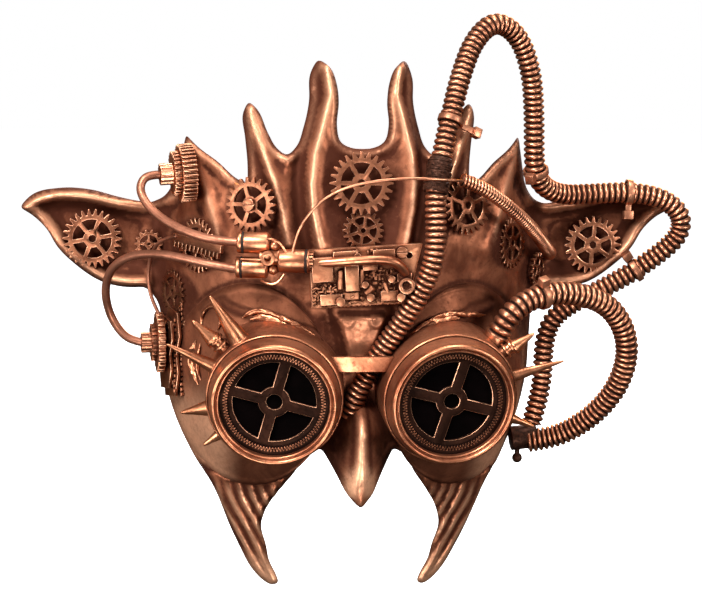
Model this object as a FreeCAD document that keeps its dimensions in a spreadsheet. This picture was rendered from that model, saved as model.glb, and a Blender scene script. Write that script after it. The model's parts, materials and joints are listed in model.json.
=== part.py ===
"""Steampunk gargoyle half-mask: moulded face shell, screw-rim goggles, gears, hoses and pipe work.

Frame: millimetres, +Z up, the mask faces -Y, +X is to the right as seen from the front.
The origin is where the wearer's nose bridge sits. Left and right are as seen from the front.
"""
import FreeCAD
import Part
import math
import os

V = FreeCAD.Vector
doc = FreeCAD.newDocument("GargoyleMask")
pieces = []

# ---------------------------------------------------------------- driving dimensions
SIZES = [
    ("shell_wall", 3.0, "moulded shell, measured along the depth"),
    ("plate_wall", 1.8, "eye plate, measured along the depth"),
    ("goggle_half_spacing", 37.1, "goggle centre from the middle of the face"),
    ("goggle_front", 62.0, "how far the rim's front stands out"),
    ("goggle_height", 1.5, "height of the goggle centre"),
    ("goggle_splay", 6.0, "degrees each goggle turns outward"),
    ("goggle_pitch", 11.0, "degrees each goggle looks down"),
    ("cup_radius", 28.3, "outside of the goggle cup"),
    ("cup_length", 38.5, "from the rim's front to the back of the cup"),
    ("cup_shoulder", 6.6, "where the cup's outer front edge stands behind the rim's front"),
    ("cup_bore", 26.9, "inside of the cup, where the rim's sleeve runs"),
    ("rim_radius", 27.4, "outside of the screw rim"),
    ("rim_lip", 22.7, "inside of the screw rim's front lip"),
    ("rim_bore", 23.6, "inside of the screw rim behind the lip"),
    ("sleeve_radius", 24.8, "outside of the screw rim's sleeve"),
    ("sleeve_length", 8.0, "how far the sleeve reaches into the cup"),
    ("stack_radius", 23.55, "lens, wheel and knurled ring"),
    ("lens_thickness", 2.0, ""),
    ("wheel_thickness", 1.5, ""),
    ("ring_thickness", 1.6, ""),
    ("wheel_window", 17.2, "outer radius of the wheel's windows"),
    ("wheel_hub", 5.0, ""),
    ("wheel_bore", 3.3, ""),
    ("wheel_spoke", 4.6, ""),
    ("gear_thickness", 1.8, "cast gears on the shell"),
    ("bridge_height", 6.6, "goggle bridge bar"),
    ("bridge_thickness", 1.8, ""),
    ("main_hose_diameter", 9.0, ""),
    ("side_hose_diameter", 10.0, ""),
    ("conduit_diameter", 5.8, ""),
    ("tube_diameter", 3.6, "rubber tubes to the stacked gear knobs"),
    ("outlet_diameter", 3.9, "copper outlet pipe"),
    ("cable_diameter", 1.6, "thin cable"),
    ("wire_diameter", 1.2, "bare copper wire"),
    ("coupling_radius", 4.4, "largest pipe coupling"),
    ("board_thickness", 3.6, ""),
    ("tie_width", 2.4, "cable tie band"),
    ("tie_thickness", 1.0, ""),
    ("anchor_bore", 2.0, "strap anchor hole radius"),
    ("anchor_length", 8.0, "strap anchor hole length"),
    ("screw_radius", 2.6, "brow gear screw head"),
    ("screw_shank", 1.5, "brow gear screw shank radius"),
]
sheet = doc.addObject("Spreadsheet::Sheet", "Sizes")
for row, (alias, value, note) in enumerate(SIZES, start=1):
    sheet.set(f"A{row}", alias)
    sheet.set(f"B{row}", str(value))
    sheet.setAlias(f"B{row}", alias)
    sheet.set(f"C{row}", note or alias.replace("_", " "))
doc.recompute()


def size(alias):
    """A driving dimension read back from the sheet."""
    return float(sheet.get(alias))


# ---------------------------------------------------------------- ways to make a piece
def keep(obj, label):
    """Name a finished sub-part and mark it for export."""
    obj.Label = label
    pieces.append(obj)
    return obj


def shaped(label, shape, placement=None):
    """A sub-part whose shape is built with Part's own functions."""
    obj = doc.addObject("Part::Feature", label)
    obj.Shape = shape
    if placement:
        obj.Placement = placement
    return keep(obj, label)


def body_sketch(label, plane, geometry):
    """A PartDesign body with one sketch on one of its own origin planes."""
    body = doc.addObject("PartDesign::Body", label)
    sketch = body.newObject("Sketcher::SketchObject", label + "_sketch")
    for feature in body.Origin.OriginFeatures:
        if feature.Role == plane:
            sketch.AttachmentSupport = [(feature, "")]
    sketch.MapMode = "FlatFace"
    sketch.addGeometry(geometry, False)
    return body, sketch


def closed_lines(points):
    """Straight sketch lines round a closed outline of (x, y) points."""
    corners = [V(x, y, 0) for x, y in points]
    return [Part.LineSegment(a, b) for a, b in zip(corners, corners[1:] + corners[:1])]


def padded(label, geometry, thickness, placement):
    """A flat piece: a sketch padded by a dimension of the sheet."""
    body, sketch = body_sketch(label, "XY_Plane", geometry)
    pad = body.newObject("PartDesign::Pad", label + "_pad")
    pad.Profile = sketch
    pad.setExpression("Length", "Sizes." + thickness)
    body.Placement = placement
    return keep(body, label)


def turned(label, profile, placement):
    """A round piece: a profile of (radius, height) points turned about its own Z axis."""
    body, sketch = body_sketch(label, "XZ_Plane", closed_lines(profile))
    turn = body.newObject("PartDesign::Revolution", label + "_turn")
    turn.Profile = sketch
    turn.ReferenceAxis = (sketch, ["V_Axis"])
    turn.Angle = 360
    body.Placement = placement
    return keep(body, label)


def aimed(position, outward, across=V(1, 0, 0)):
    """A placement whose Z points outward and whose X is as near to across as it can be."""
    return FreeCAD.Placement(V(*position), FreeCAD.Rotation(across, V(), outward, "ZXY"))


# ---------------------------------------------------------------- the sculpted face surface
RIDGES = [
    # (points x, z on the right half), height, half-width
    ([(13, 76), (14, 96), (18, 139)], 5, 6),
    ([(33, 74), (40, 96), (45.5, 121)], 5, 6),
    ([(57, 62), (64, 86), (70, 104)], 3, 7),
    ([(78, 80), (98, 78), (124, 81), (138, 75)], 4, 4),
    ([(86, 43), (104, 44), (120, 54), (138, 73)], 4, 4),
    ([(60, -20), (52, -48), (34, -84)], 3, 7),
]


def distance_to_line(x, z, points):
    """Distance from a point to a polyline."""
    nearest = 1e9
    for (x0, z0), (x1, z1) in zip(points, points[1:]):
        run_x, run_z = x1 - x0, z1 - z0
        along = ((x - x0) * run_x + (z - z0) * run_z) / (run_x ** 2 + run_z ** 2)
        along = max(0, min(1, along))
        nearest = min(nearest, math.hypot(x - x0 - along * run_x, z - z0 - along * run_z))
    return nearest


def soft_front(a, b, blend):
    """The more forward of two depths, blended smoothly."""
    overlap = max(blend - abs(a - b), 0) / blend
    return min(a, b) - overlap ** 2 * blend / 4


def head_depth(x, z):
    """The bare head: a bowed centre line and an elliptical section, blended into the ear plane."""
    bow = 0.0013 if z > 50 else 0.0020
    reach = min(abs(x) / 84, 1)
    head = -47 + bow * (z - 50) ** 2 + 89 * (1 - math.sqrt(1 - reach ** 2))
    ear = 14 + 0.08 * max(abs(x) - 80, 0)
    return soft_front(head, ear, 12)


def beak_depth(x, z):
    """The beak's roof, which fades into the nose bridge."""
    fade = max(0, min(1, (12 - z) / 26))
    crest = -36 - 21 * fade * fade * (3 - 2 * fade) + 0.003 * (z + 20) ** 2
    return crest + 1.35 * (math.sqrt(x * x + 3) - 1.7)


def face_depth(x, z):
    """Depth y of the shell's outer face at x, z."""
    hollow = 3 * math.exp(-(x ** 2 + (z - 10) ** 2) / 14 ** 2)
    y = soft_front(head_depth(x, z) + hollow, beak_depth(x, z), 4)
    for points, height, width in RIDGES:
        y -= height * math.exp(-(distance_to_line(abs(x), z, points) / width) ** 2)
    return y


def surface(depth, low, high, step):
    """A smooth surface through depth(x, z) over a rectangle."""
    across = max(2, round((high[0] - low[0]) / step))
    upward = max(2, round((high[1] - low[1]) / step))
    grid = []
    for i in range(across + 1):
        x = low[0] + (high[0] - low[0]) * i / across
        heights = [low[1] + (high[1] - low[1]) * j / upward for j in range(upward + 1)]
        grid.append([V(x, depth(x, z), z) for z in heights])
    skin = Part.BSplineSurface()
    skin.interpolate(grid)
    return skin.toShape()


def mirrored(points):
    return [(-x, z) for x, z in reversed(points)]


def prism(stretches):
    """A long bar along Y whose outline is a loop of smooth stretches that meet at corners."""
    edges = []
    for points in stretches:
        corners = [V(x, -150, z) for x, z in points]
        if len(corners) == 2:
            edges.append(Part.LineSegment(*corners).toShape())
        else:
            curve = Part.BSplineCurve()
            curve.interpolate(corners)
            edges.append(curve.toShape())
    return Part.Face(Part.Wire(edges)).extrude(V(0, 300, 0))


# ---------------------------------------------------------------- goggle frames
def goggle_frame(side):
    """Placement of a goggle: origin at the rim's front, Z out along its axis, X to the right."""
    splay = math.radians(size("goggle_splay"))
    pitch = math.radians(size("goggle_pitch"))
    outward = V(side * math.sin(splay) * math.cos(pitch),
                -math.cos(splay) * math.cos(pitch),
                -math.sin(pitch))
    across = V(math.cos(splay), side * math.sin(splay), 0)
    centre = (side * size("goggle_half_spacing"), -size("goggle_front"), size("goggle_height"))
    return aimed(centre, outward, across)


SIDES = [("left", -1), ("right", 1)]


def goggle_hole(side, radius):
    """The round hole a goggle cup is glued into."""
    bar = Part.makeCylinder(radius, 120, V(0, 0, -90))
    bar.Placement = goggle_frame(side)
    return bar


# ---------------------------------------------------------------- shell and eye plates
RIGHT_OUTLINE = [
    [(0, -43.5), (5, -38.5), (10, -29.5), (15, -21)],
    [(15, -21), (19, -23.5), (26, -34), (31.5, -42), (36, -50), (38, -58), (35.5, -68),
     (34, -75), (31, -81), (29.5, -85)],
    [(29.5, -85), (32.5, -86.5), (37, -84), (41.5, -79), (46, -70.5), (50.5, -61), (58, -43),
     (67, -29), (74, -14), (78.5, 3), (79.5, 20), (81.5, 34), (87, 40)],
    [(87, 40), (96, 39.8), (106, 42.5), (117, 50), (124, 57), (128.5, 64.5), (134, 70), (140, 74)],
    [(140, 74), (134, 79.5), (124, 82), (110, 81.5), (98, 78.6), (85, 76.2)],
    [(85, 76.2), (79, 79.5), (75.5, 85), (73, 95), (70.5, 107)],
    [(70.5, 107), (66, 102.5), (58, 97), (50, 90.3), (46.3, 88.8)],
    [(46.3, 88.8), (46.3, 97), (47.3, 108), (48.2, 118), (46, 123)],
    [(46, 123), (42.7, 120), (38.2, 110), (34.5, 104), (30.5, 101.6), (27, 104.5), (23.8, 113),
     (21.5, 124), (21.2, 134), (18, 141)],
    [(18, 141), (13.5, 138), (11, 132), (10, 124), (10.7, 114), (9, 107.5), (4, 105), (0, 104.8)],
]
PLATE_CENTRE = (44, 4)
PLATE_REACH = (32, 44)


def make_shell():
    left_outline = [mirrored(points) for points in reversed(RIGHT_OUTLINE)]
    outline = prism(RIGHT_OUTLINE + left_outline)
    skin = surface(face_depth, (-148, -94), (148, 150), 4.5)
    shell = skin.extrude(V(0, size("shell_wall"), 0)).common(outline)
    for _, side in SIDES:
        shell = shell.cut(goggle_hole(side, size("cup_radius") - 0.4))
    shaped("face_shell", max(shell.Solids, key=lambda solid: solid.Volume))


def plate_depth(x, z):
    """Outer face of the eye plate: a low dome over the shell, highest round the goggle."""
    reach = ((abs(x) - PLATE_CENTRE[0]) / PLATE_REACH[0]) ** 2 + ((z - PLATE_CENTRE[1]) / PLATE_REACH[1]) ** 2
    return face_depth(x, z) - 1.2 - 9 * max(0, 1 - reach)


def make_eye_plate(name, side):
    centre_x = side * PLATE_CENTRE[0]
    low = (centre_x - PLATE_REACH[0] - 3, PLATE_CENTRE[1] - PLATE_REACH[1] - 3)
    high = (centre_x + PLATE_REACH[0] + 3, PLATE_CENTRE[1] + PLATE_REACH[1] + 3)
    skin = surface(plate_depth, low, high, 4.5)
    oval = Part.Ellipse(V(0, 0, 0), PLATE_REACH[1], PLATE_REACH[0])
    outline = Part.Face(Part.Wire(oval.toShape())).extrude(V(0, 0, 300))
    outline.Placement = aimed((centre_x, 150, PLATE_CENTRE[1]), V(0, -1, 0), V(0, 0, 1))
    plate = skin.extrude(V(0, size("plate_wall"), 0)).common(outline)
    plate = plate.cut(goggle_hole(side, size("cup_radius") - 0.4))
    shaped(name + "_eye_plate", max(plate.Solids, key=lambda solid: solid.Volume))


# ---------------------------------------------------------------- goggles
def window(start, end, inner, outer, half_spoke):
    """One window between two spokes: two arcs and two straight sides."""
    near = math.asin(half_spoke / inner)
    far = math.asin(half_spoke / outer)
    corners = [V(inner * math.cos(start + near), inner * math.sin(start + near), 0),
               V(outer * math.cos(start + far), outer * math.sin(start + far), 0),
               V(outer * math.cos(end - far), outer * math.sin(end - far), 0),
               V(inner * math.cos(end - near), inner * math.sin(end - near), 0)]
    axis = V(0, 0, 1)
    return [
        Part.LineSegment(corners[0], corners[1]),
        Part.ArcOfCircle(Part.Circle(V(), axis, outer), start + far, end - far),
        Part.LineSegment(corners[2], corners[3]),
        Part.ArcOfCircle(Part.Circle(V(), axis, inner), start + near, end - near),
    ]


def spoke_windows(count, inner, outer, spoke, first=0.0):
    """Windows between count spokes, the first spoke at the angle first in degrees."""
    geometry = []
    for index in range(count):
        start = math.radians(first) + 2 * math.pi * index / count
        geometry += window(start, start + 2 * math.pi / count, inner, outer, spoke / 2)
    return geometry


def tooth_outline(teeth, root, tip, root_share=0.62, tip_share=0.26):
    """Corners of a toothed outline; the shares are of one tooth pitch."""
    points = []
    pitch = 2 * math.pi / teeth
    for index in range(teeth):
        middle = pitch * index
        for radius, share in ((root, -root_share), (tip, -tip_share), (tip, tip_share), (root, root_share)):
            angle = middle + pitch * share / 2
            points.append((radius * math.cos(angle), radius * math.sin(angle)))
    return points


def circle(radius, x=0.0, y=0.0):
    return Part.Circle(V(x, y, 0), V(0, 0, 1), radius)


def along(frame, distance):
    """The same frame moved along its own Z."""
    return frame.multiply(FreeCAD.Placement(V(0, 0, distance), FreeCAD.Rotation()))


def make_goggle(name, side):
    frame = goggle_frame(side)
    shoulder = -size("cup_shoulder")
    ring_front = -2.55
    wheel_front = ring_front - size("ring_thickness")
    lens_front = wheel_front - size("wheel_thickness")
    lens_back = lens_front - size("lens_thickness")
    turned(name + "_goggle_cup", [
        (size("cup_bore"), shoulder), (size("cup_radius") - 0.6, shoulder),
        (size("cup_radius"), shoulder - 0.8),
        (size("cup_radius"), -size("cup_length")), (size("cup_bore"), -size("cup_length"))], frame)
    rim = size("rim_radius")
    rim_back = shoulder + 0.1
    turned(name + "_goggle_bezel", [
        (size("rim_lip"), -2.5), (size("rim_lip"), -0.5), (23.6, 0.6), (24.8, 1.2), (25.8, 0.6),
        (rim - 1.1, -0.8), (rim, rim_back), (size("rim_bore"), rim_back), (size("rim_bore"), -2.5)],
        frame)
    sleeve_front = rim_back + 0.2
    sleeve_back = shoulder - size("sleeve_length")
    turned(name + "_bezel_sleeve", [
        (size("rim_bore"), sleeve_front), (size("sleeve_radius"), sleeve_front),
        (size("sleeve_radius"), sleeve_back), (size("rim_bore"), sleeve_back)], frame)
    ring_teeth = tooth_outline(100, 20.7, 19.4)
    padded(name + "_knurled_ring", closed_lines(ring_teeth) + [circle(size("stack_radius"))],
           "ring_thickness", along(frame, wheel_front))
    wheel = [circle(size("stack_radius")), circle(size("wheel_bore"))]
    wheel += spoke_windows(4, size("wheel_hub") + 1.6, size("wheel_window"), size("wheel_spoke"), 75)
    padded(name + "_spoked_wheel", wheel, "wheel_thickness", along(frame, lens_front))
    lens = doc.addObject("Part::Cylinder", name + "_lens")
    lens.setExpression("Radius", "Sizes.stack_radius")
    lens.setExpression("Height", "Sizes.lens_thickness")
    lens.Placement = along(frame, lens_back)
    keep(lens, name + "_lens")


# (angle seen from the front, distance of the base and of the tip from the goggle's axis,
#  base radius, lean towards the front)
SPIKES = {
    "left": [(122, 27, 50.4, 4.6, -12.5), (136.5, 34.5, 46.8, 3.4, -12), (154, 27, 49.5, 3.1, -12),
             (191.5, 27, 39.8, 3.6, -11), (217, 27, 37, 2.8, -11)],
    "right": [(36.3, 33.5, 44.2, 3.2, -13), (16.2, 27, 50.8, 2.9, -11.5), (-21.4, 27, 41.1, 2.7, -11.5)],
}
COLLARS = {"left": (136, 27, 35, 3.7, -12), "right": (38, 27, 34, 3.4, -13)}


def make_spikes(name, side):
    """Cone spikes glued round the cup, one of them on a threaded collar."""
    studs = []
    for angle, base, tip, radius, height in SPIKES[name]:
        turn = math.radians(angle)
        direction = V(math.cos(turn), math.sin(turn), 0)
        start = V(base * direction.x, base * direction.y, height)
        studs.append(Part.makeCone(radius, 0.35, tip - base, start, direction))
    angle, base, end, radius, height = COLLARS[name]
    turn = math.radians(angle)
    direction = V(math.cos(turn), math.sin(turn), 0)
    start = V(base * direction.x, base * direction.y, height)
    studs.append(Part.makeCylinder(radius, end - base, start, direction))
    shaped(name + "_goggle_spikes", Part.makeCompound(studs), goggle_frame(side))


def make_bridge():
    """A flat bar between the two cups, let into their walls just behind the screw rims."""
    half = size("goggle_half_spacing") - 18
    height = size("bridge_height")
    bar = Part.makeBox(2 * half, size("bridge_thickness"), height, V(-half, -54.4, 17.2 - height / 2))
    for _, side in SIDES:
        bar = bar.cut(goggle_hole(side, size("cup_bore") + 0.3))
    shaped("goggle_bridge", bar)


# ---------------------------------------------------------------- gears on the shell
GEARS = {
    # name: (x, z, tip radius, teeth, spokes, turn of the first spoke)
    "left_ear_gear": (-109, 61, 12.6, 26, 6, 10),
    "left_ear_small_gear": (-85, 59, 6.0, 14, 4, 0),
    "right_ear_gear": (106, 58.5, 12.4, 24, 6, 25),
    "centre_large_gear": (-1, 91, 13.0, 24, 6, 0),
    "centre_small_gear": (0, 71.8, 8.4, 20, 6, 20),
    "right_brow_gear": (43, 81, 12.2, 24, 5, 90),
    "right_temple_gear": (66.5, 62.5, 11.0, 22, 6, 30),
    "right_lower_gear": (80, 48, 7.5, 16, 5, 0),
    "left_temple_gear": (-65.5, 61.5, 11.5, 26, 6, 15),
    "left_cheek_gear": (-73, 24, 7.2, 18, 5, 40),
    "left_side_gear": (-75, 39.5, 9.8, 22, 5, 0),
}


def head_normal(x, z):
    """Outward direction of the smooth head at x, z."""
    step = 0.5
    slope_x = (head_depth(x + step, z) - head_depth(x - step, z)) / (2 * step)
    slope_z = (head_depth(x, z + step) - head_depth(x, z - step)) / (2 * step)
    return V(slope_x, -1, slope_z).normalize()


def seat(x, z, radius, gap):
    """Frame of a flat gear that rests on the highest points under it, gap above them."""
    normal = head_normal(x, z)
    centre = V(x, face_depth(x, z), z)
    frame = aimed(centre, normal)
    highest = -10.0
    for ring in (0.35, 0.7, 1.0):
        for index in range(16):
            turn = 2 * math.pi * index / 16
            spot = V(radius * ring * math.cos(turn), radius * ring * math.sin(turn), 0)
            spot = frame.multVec(spot)
            rise = (V(spot.x, face_depth(spot.x, spot.z), spot.z) - spot).dot(normal)
            highest = max(highest, rise)
    return along(frame, max(highest, 0) + gap)


def gear_geometry(radius, teeth, spokes, first, bore):
    """Slender pointed teeth, a narrow rim, spokes and a hub."""
    rim = radius * 0.80
    outline = closed_lines(tooth_outline(teeth, rim, radius, 0.72, 0.22))
    windows = spoke_windows(spokes, radius * 0.30, radius * 0.66, radius * 0.13, first)
    return outline + windows + [circle(bore)]


def make_shell_gears():
    for name, (x, z, radius, teeth, spokes, first) in GEARS.items():
        geometry = gear_geometry(radius, teeth, spokes, first, radius * 0.13)
        padded(name, geometry, "gear_thickness", seat(x, z, radius, -1.3))


def make_brow_gear():
    """The one gear that still turns: it hangs on a slotted screw."""
    x, z, radius = -43.2, 81, 11.5
    frame = seat(x, z, radius, 0.6)
    geometry = gear_geometry(radius, 22, 5, 35, size("screw_shank") + 0.08)
    padded("left_brow_gear", geometry, "gear_thickness", frame)
    top = size("gear_thickness") + 0.35
    head = Part.makeCylinder(size("screw_radius"), 1.4, V(0, 0, top))
    shank = Part.makeCylinder(size("screw_shank"), 10 + top, V(0, 0, -10))
    slot = Part.makeBox(8, 0.8, 1, V(-4, -0.4, top + 0.8))
    shaped("brow_gear_screw", head.fuse(shank).cut(slot).removeSplitter(), frame)
    print("brow gear centre", frame.Base, "axis", frame.Rotation.multVec(V(0, 0, 1)))


def make_rack():
    """A short toothed rack glued between the temple gears and the pipe work."""
    points = [(0, 0), (0, 3.4)]
    for index in range(12):
        left = 2.5 * index
        points += [(left + 0.2, 6), (left + 1.1, 6), (left + 1.4, 3.4), (left + 2.4, 3.4)]
    points += [(30.5, 3.4), (30.5, 0)]
    frame = aimed((-76, -9.5, 66.2), V(-0.79, -0.60, 0), V(0.60, -0.79, -0.08))
    flipped = frame.multiply(FreeCAD.Placement(V(), FreeCAD.Rotation(V(1, 0, 0), 180)))
    padded("left_rack", closed_lines(points), "gear_thickness", flipped)


def flat_solid(points, holes, thickness, height=0.0):
    """A flat plate with round holes of (radius, x, y), its back face at height."""
    corners = [V(x, y, height) for x, y in points]
    plate = Part.Face(Part.makePolygon(corners + corners[:1])).extrude(V(0, 0, thickness))
    return plate.cut([Part.makeCylinder(r, thickness, V(x, y, height)) for r, x, y in holes])


def make_movement_plates():
    """Two riveted watch plates standing along the left side edge."""
    outline = [(-6, -19), (4, -18), (7, -8), (5, 0), (8, 8), (6, 18), (-3, 20), (-7, 12), (-5, 2), (-8, -8)]
    smaller = [(0.8 * x, 0.8 * y) for x, y in outline]
    holes = [(3.2, 0, 12), (2.0, 3, 3), (3.4, 0, -7), (1.2, -3, 1)]
    thickness = 1.2
    parts = [flat_solid(outline, holes, thickness), flat_solid(smaller, holes[:1], thickness, 2.6)]
    for x, y in ((-3.8, 13), (4, 13), (-4, -12), (4, -12)):
        parts.append(Part.makeCylinder(1, 2.6 - thickness, V(x, y, thickness)))
    frame = aimed((-75, 0.5, 13.5), V(-0.93, -0.37, 0), V(0.37, -0.93, 0))
    shaped("movement_plates", Part.makeCompound(parts), frame)


KNOBS = {
    # name: (position, outward direction, {part: [(tip radius, teeth, start, length)]})
    "upper_knob": ((-68.1, -15, 92.3), (-0.99, -0.12, -0.06),
                   {"large_gear": [(12.2, 36, 0, 6)],
                    "pinion": [(9.4, 26, 6, 3), (4.6, 12, 9, 5.2)]}),
    "lower_knob": ((-79.5, 1, 18.2), (-0.995, -0.06, -0.02),
                   {"large_gear": [(12.9, 24, 0, 3)],
                    "pinion": [(8, 20, 3, 2.2), (4.4, 12, 5.2, 4.1)]}),
}


def make_knobs():
    """Stacks of toothed wheels at the ends of the rubber tubes."""
    for knob, (position, outward, stack) in KNOBS.items():
        frame = aimed(position, V(*outward), V(0, 0, 1))
        for part, wheels in stack.items():
            layers = [flat_solid(tooth_outline(teeth, radius * 0.88, radius, 0.66, 0.4), [], length, start)
                      for radius, teeth, start, length in wheels]
            solid = layers[0]
            for layer in layers[1:]:
                solid = solid.fuse(layer)
            shaped(f"{knob}_{part}", solid, frame)


# ---------------------------------------------------------------- tubes, hoses and wires
def rounded_path(points):
    """Straight runs joined by tangent arcs as large as the runs allow. Returns wire and radii."""
    spots = [V(*point) for point in points]
    edges = []
    radii = []
    start = spots[0]
    for before, corner, after in zip(spots, spots[1:], spots[2:]):
        arrive = (corner - before)
        leave = (after - corner)
        reach = 0.45 * min(arrive.Length, leave.Length)
        turn = arrive.getAngle(leave)
        radii.append(reach / math.tan(turn / 2))
        arrive.normalize()
        leave.normalize()
        first = corner - arrive * reach
        last = corner + leave * reach
        inward = (leave - arrive).normalize()
        sagitta = radii[-1] * (1 / math.cos(turn / 2) - 1)
        edges.append(Part.LineSegment(start, first).toShape())
        edges.append(Part.Arc(first, corner + inward * sagitta, last).toShape())
        start = last
    edges.append(Part.LineSegment(start, spots[-1]).toShape())
    return Part.Wire(edges), radii


def make_tube(label, diameter, points):
    """A round tube along a rounded path."""
    path, radii = rounded_path(points)
    radius = size(diameter) / 2
    start = V(*points[0])
    section = Part.Wire(Part.Circle(start, V(*points[1]) - start, radius).toShape())
    tube = path.makePipeShell([section], True, False)
    shaped(label, tube)
    expected = math.pi * radius ** 2 * path.Length
    print(f"{label}: length {path.Length:.1f}, volume {tube.Volume / expected:.4f} of section x length,"
          f" smallest radius {min(radii):.1f}, radii {[round(value, 1) for value in radii]}")


MAIN_HOSE = [
    (-7, -36, -17), (-5, -42, -9), (-1.5, -45.6, 3.5), (5.7, -47.9, 18), (14.8, -50.5, 32),
    (23.7, -53.5, 47), (29, -55, 60), (29.4, -54, 73.5), (29, -52.5, 87), (32, -48, 103),
    (35.8, -43.5, 117.5), (40.2, -37, 133.5), (46.8, -29, 149), (56.8, -22, 157.2), (67.8, -17, 150.6),
    (73.8, -14.5, 135), (75.6, -12, 118.6), (76, -11.5, 104.5), (76.6, -10, 94.4), (80.2, -6, 86.2),
    (89.7, 0, 81.4), (103.3, 3.5, 81.6), (120.2, 5, 82.5), (135.3, 6, 79.9), (144, 7, 72.6),
    (143.6, 8, 63.2), (133.8, 8.5, 54.2), (120.9, 8.5, 45.7), (108.1, 8, 38.9), (96.5, 7, 33.6),
    (88, 6, 26.9), (84.8, 5.5, 16.8), (84.6, 5, 4.5), (82.9, 4, -7.4), (79.4, 2, -18),
]
SIDE_HOSE = [
    (56.5, -43, 26), (60.8, -45, 35), (67.9, -42.5, 41.3), (79.2, -37, 44.4), (92.6, -31, 43.4),
    (105.8, -25, 38.6), (114.4, -21, 28.5), (117.4, -18, 15.8), (114.6, -14, 2), (106.8, -10, -10.2),
    (95.6, -6, -19.4), (85.5, -3.5, -23.5), (77, -2.5, -24.7),
]
CONDUIT = [(40.4, -49, 93), (48.3, -46.5, 90), (57.6, -40.5, 84), (67.7, -31, 75.8), (76.5, -18, 67.4),
           (83.5, -4, 59.2), (87, 8, 55.5), (88, 14.5, 54.5)]
UPPER_TUBE = [(-51, -48.5, 67), (-60.3, -46, 67.4), (-69.8, -39.5, 69.2), (-79.2, -31, 72.8),
              (-86.8, -23.5, 78.2), (-90.6, -19, 84.6), (-89.4, -17.8, 89.6),
              (-85.5, -17, 91.4), (-80.5, -16.4, 91.4)]
LOWER_TUBE = [(-51, -48.5, 55.8), (-60.7, -46, 57), (-72.5, -38, 59), (-84.4, -28, 59.9),
              (-95.2, -18, 57.4), (-102.4, -9, 50.8), (-104.5, -2, 40.6), (-102.3, 2.5, 30.2),
              (-97.8, 2.4, 22.6), (-93, 1.2, 18.8), (-87.5, 0.6, 18)]
KNOB_CABLE = [(-75.6, -25, 66.6), (-81.6, -14, 64.2), (-85.6, -5, 55.8), (-86.3, -1, 44.6), (-84, -2, 35),
              (-79.5, -2, 27)]
CROWN_WIRE = [(-29.9, -54.5, 61.8), (-28.6, -57, 70.7), (-24, -58, 79.3), (-16.9, -59, 86.7), (-7, -60, 91.5),
              (5.3, -60.5, 93.9), (18.3, -60, 94.7), (29.9, -58.5, 94.1), (41.6, -50.2, 92.6)]
OUTLET_PIPE = [(-20, -55.5, 59.2), (-12, -58, 60.1), (-2, -59.4, 61), (7.5, -59.4, 61.4), (14, -58.4, 59.6),
               (17, -55.5, 55)]


def make_hoses():
    make_tube("main_hose", "main_hose_diameter", MAIN_HOSE)
    make_tube("side_hose", "side_hose_diameter", SIDE_HOSE)
    make_tube("spring_conduit", "conduit_diameter", CONDUIT)
    make_tube("upper_tube", "tube_diameter", UPPER_TUBE)
    make_tube("lower_tube", "tube_diameter", LOWER_TUBE)
    make_tube("knob_cable", "cable_diameter", KNOB_CABLE)
    make_tube("crown_wire", "wire_diameter", CROWN_WIRE)
    make_tube("outlet_pipe", "outlet_diameter", OUTLET_PIPE)


def sleeve(label, start, end, radius):
    """A plain round sleeve between two points."""
    direction = V(*end) - V(*start)
    shaped(label, Part.makeCylinder(radius, direction.Length, V(*start), direction))


def make_hose_fittings():
    sleeve("hose_wrap", (28.9, -52.2, 88.5), (31.6, -48.6, 102), 5.0)
    sleeve("side_hose_gland", (54.6, -41.5, 21.5), (57.6, -43.5, 28.2), 5.6)
    block = Part.makeCylinder(5.2, 11, V(81, -0.8, -22.5), V(-14, -1, -1.5))
    stalk = Part.makeCylinder(1.1, 5, V(73, -2, -26), V(0, 0, -1))
    shaped("hose_end_block", block.fuse([stalk, Part.makeSphere(2.2, V(73, -2, -32))]))


TIES = [
    # (centre, direction of the hose, direction to the head, head distance, ring radius)
    ((36.0, -43.6, 117.0), (5.2, 6.2, 15), (0.86, 0.3, -0.45), 12.6, 5.45),
    ((77.4, -9.2, 92.5), (1.8, 3.4, -9), (-0.5, -0.86, 0.1), 6.2, 5.45),
    ((120.2, 4.8, 82.3), (15, 1, -0.8), (0, -0.15, -1), 9.4, 5.45),
    ((124.5, 8.5, 48.2), (12.9, 0, 8.5), (-0.5, -0.3, 0.85), 7.4, 5.45),
    ((76.5, -38.4, 43.4), (11, 5.5, 2.6), (-0.2, -0.6, 0.9), 6.6, 5.85),
]


def make_ties():
    """Cable ties: a flat band round the hose, a strap to one side and a square head."""
    width = size("tie_width")
    thickness = size("tie_thickness")
    ties = []
    for centre, hose, toward, reach, radius in TIES:
        frame = aimed(centre, V(*hose), V(*toward))
        band = Part.makeCylinder(radius, width, V(0, 0, -width / 2))
        hole = Part.makeCylinder(radius - thickness, width + 2, V(0, 0, -width / 2 - 1))
        strap = Part.makeBox(reach - radius + 1, thickness, width, V(radius - 1, -thickness / 2, -width / 2))
        head = Part.makeBox(3.4, 3.6, 4.0, V(reach - 1.2, -1.8, -2.0))
        tie = band.cut(hole).fuse([strap, head]).removeSplitter()
        tie.Placement = frame
        ties.append(tie)
    shaped("hose_ties", Part.makeCompound(ties))


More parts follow.
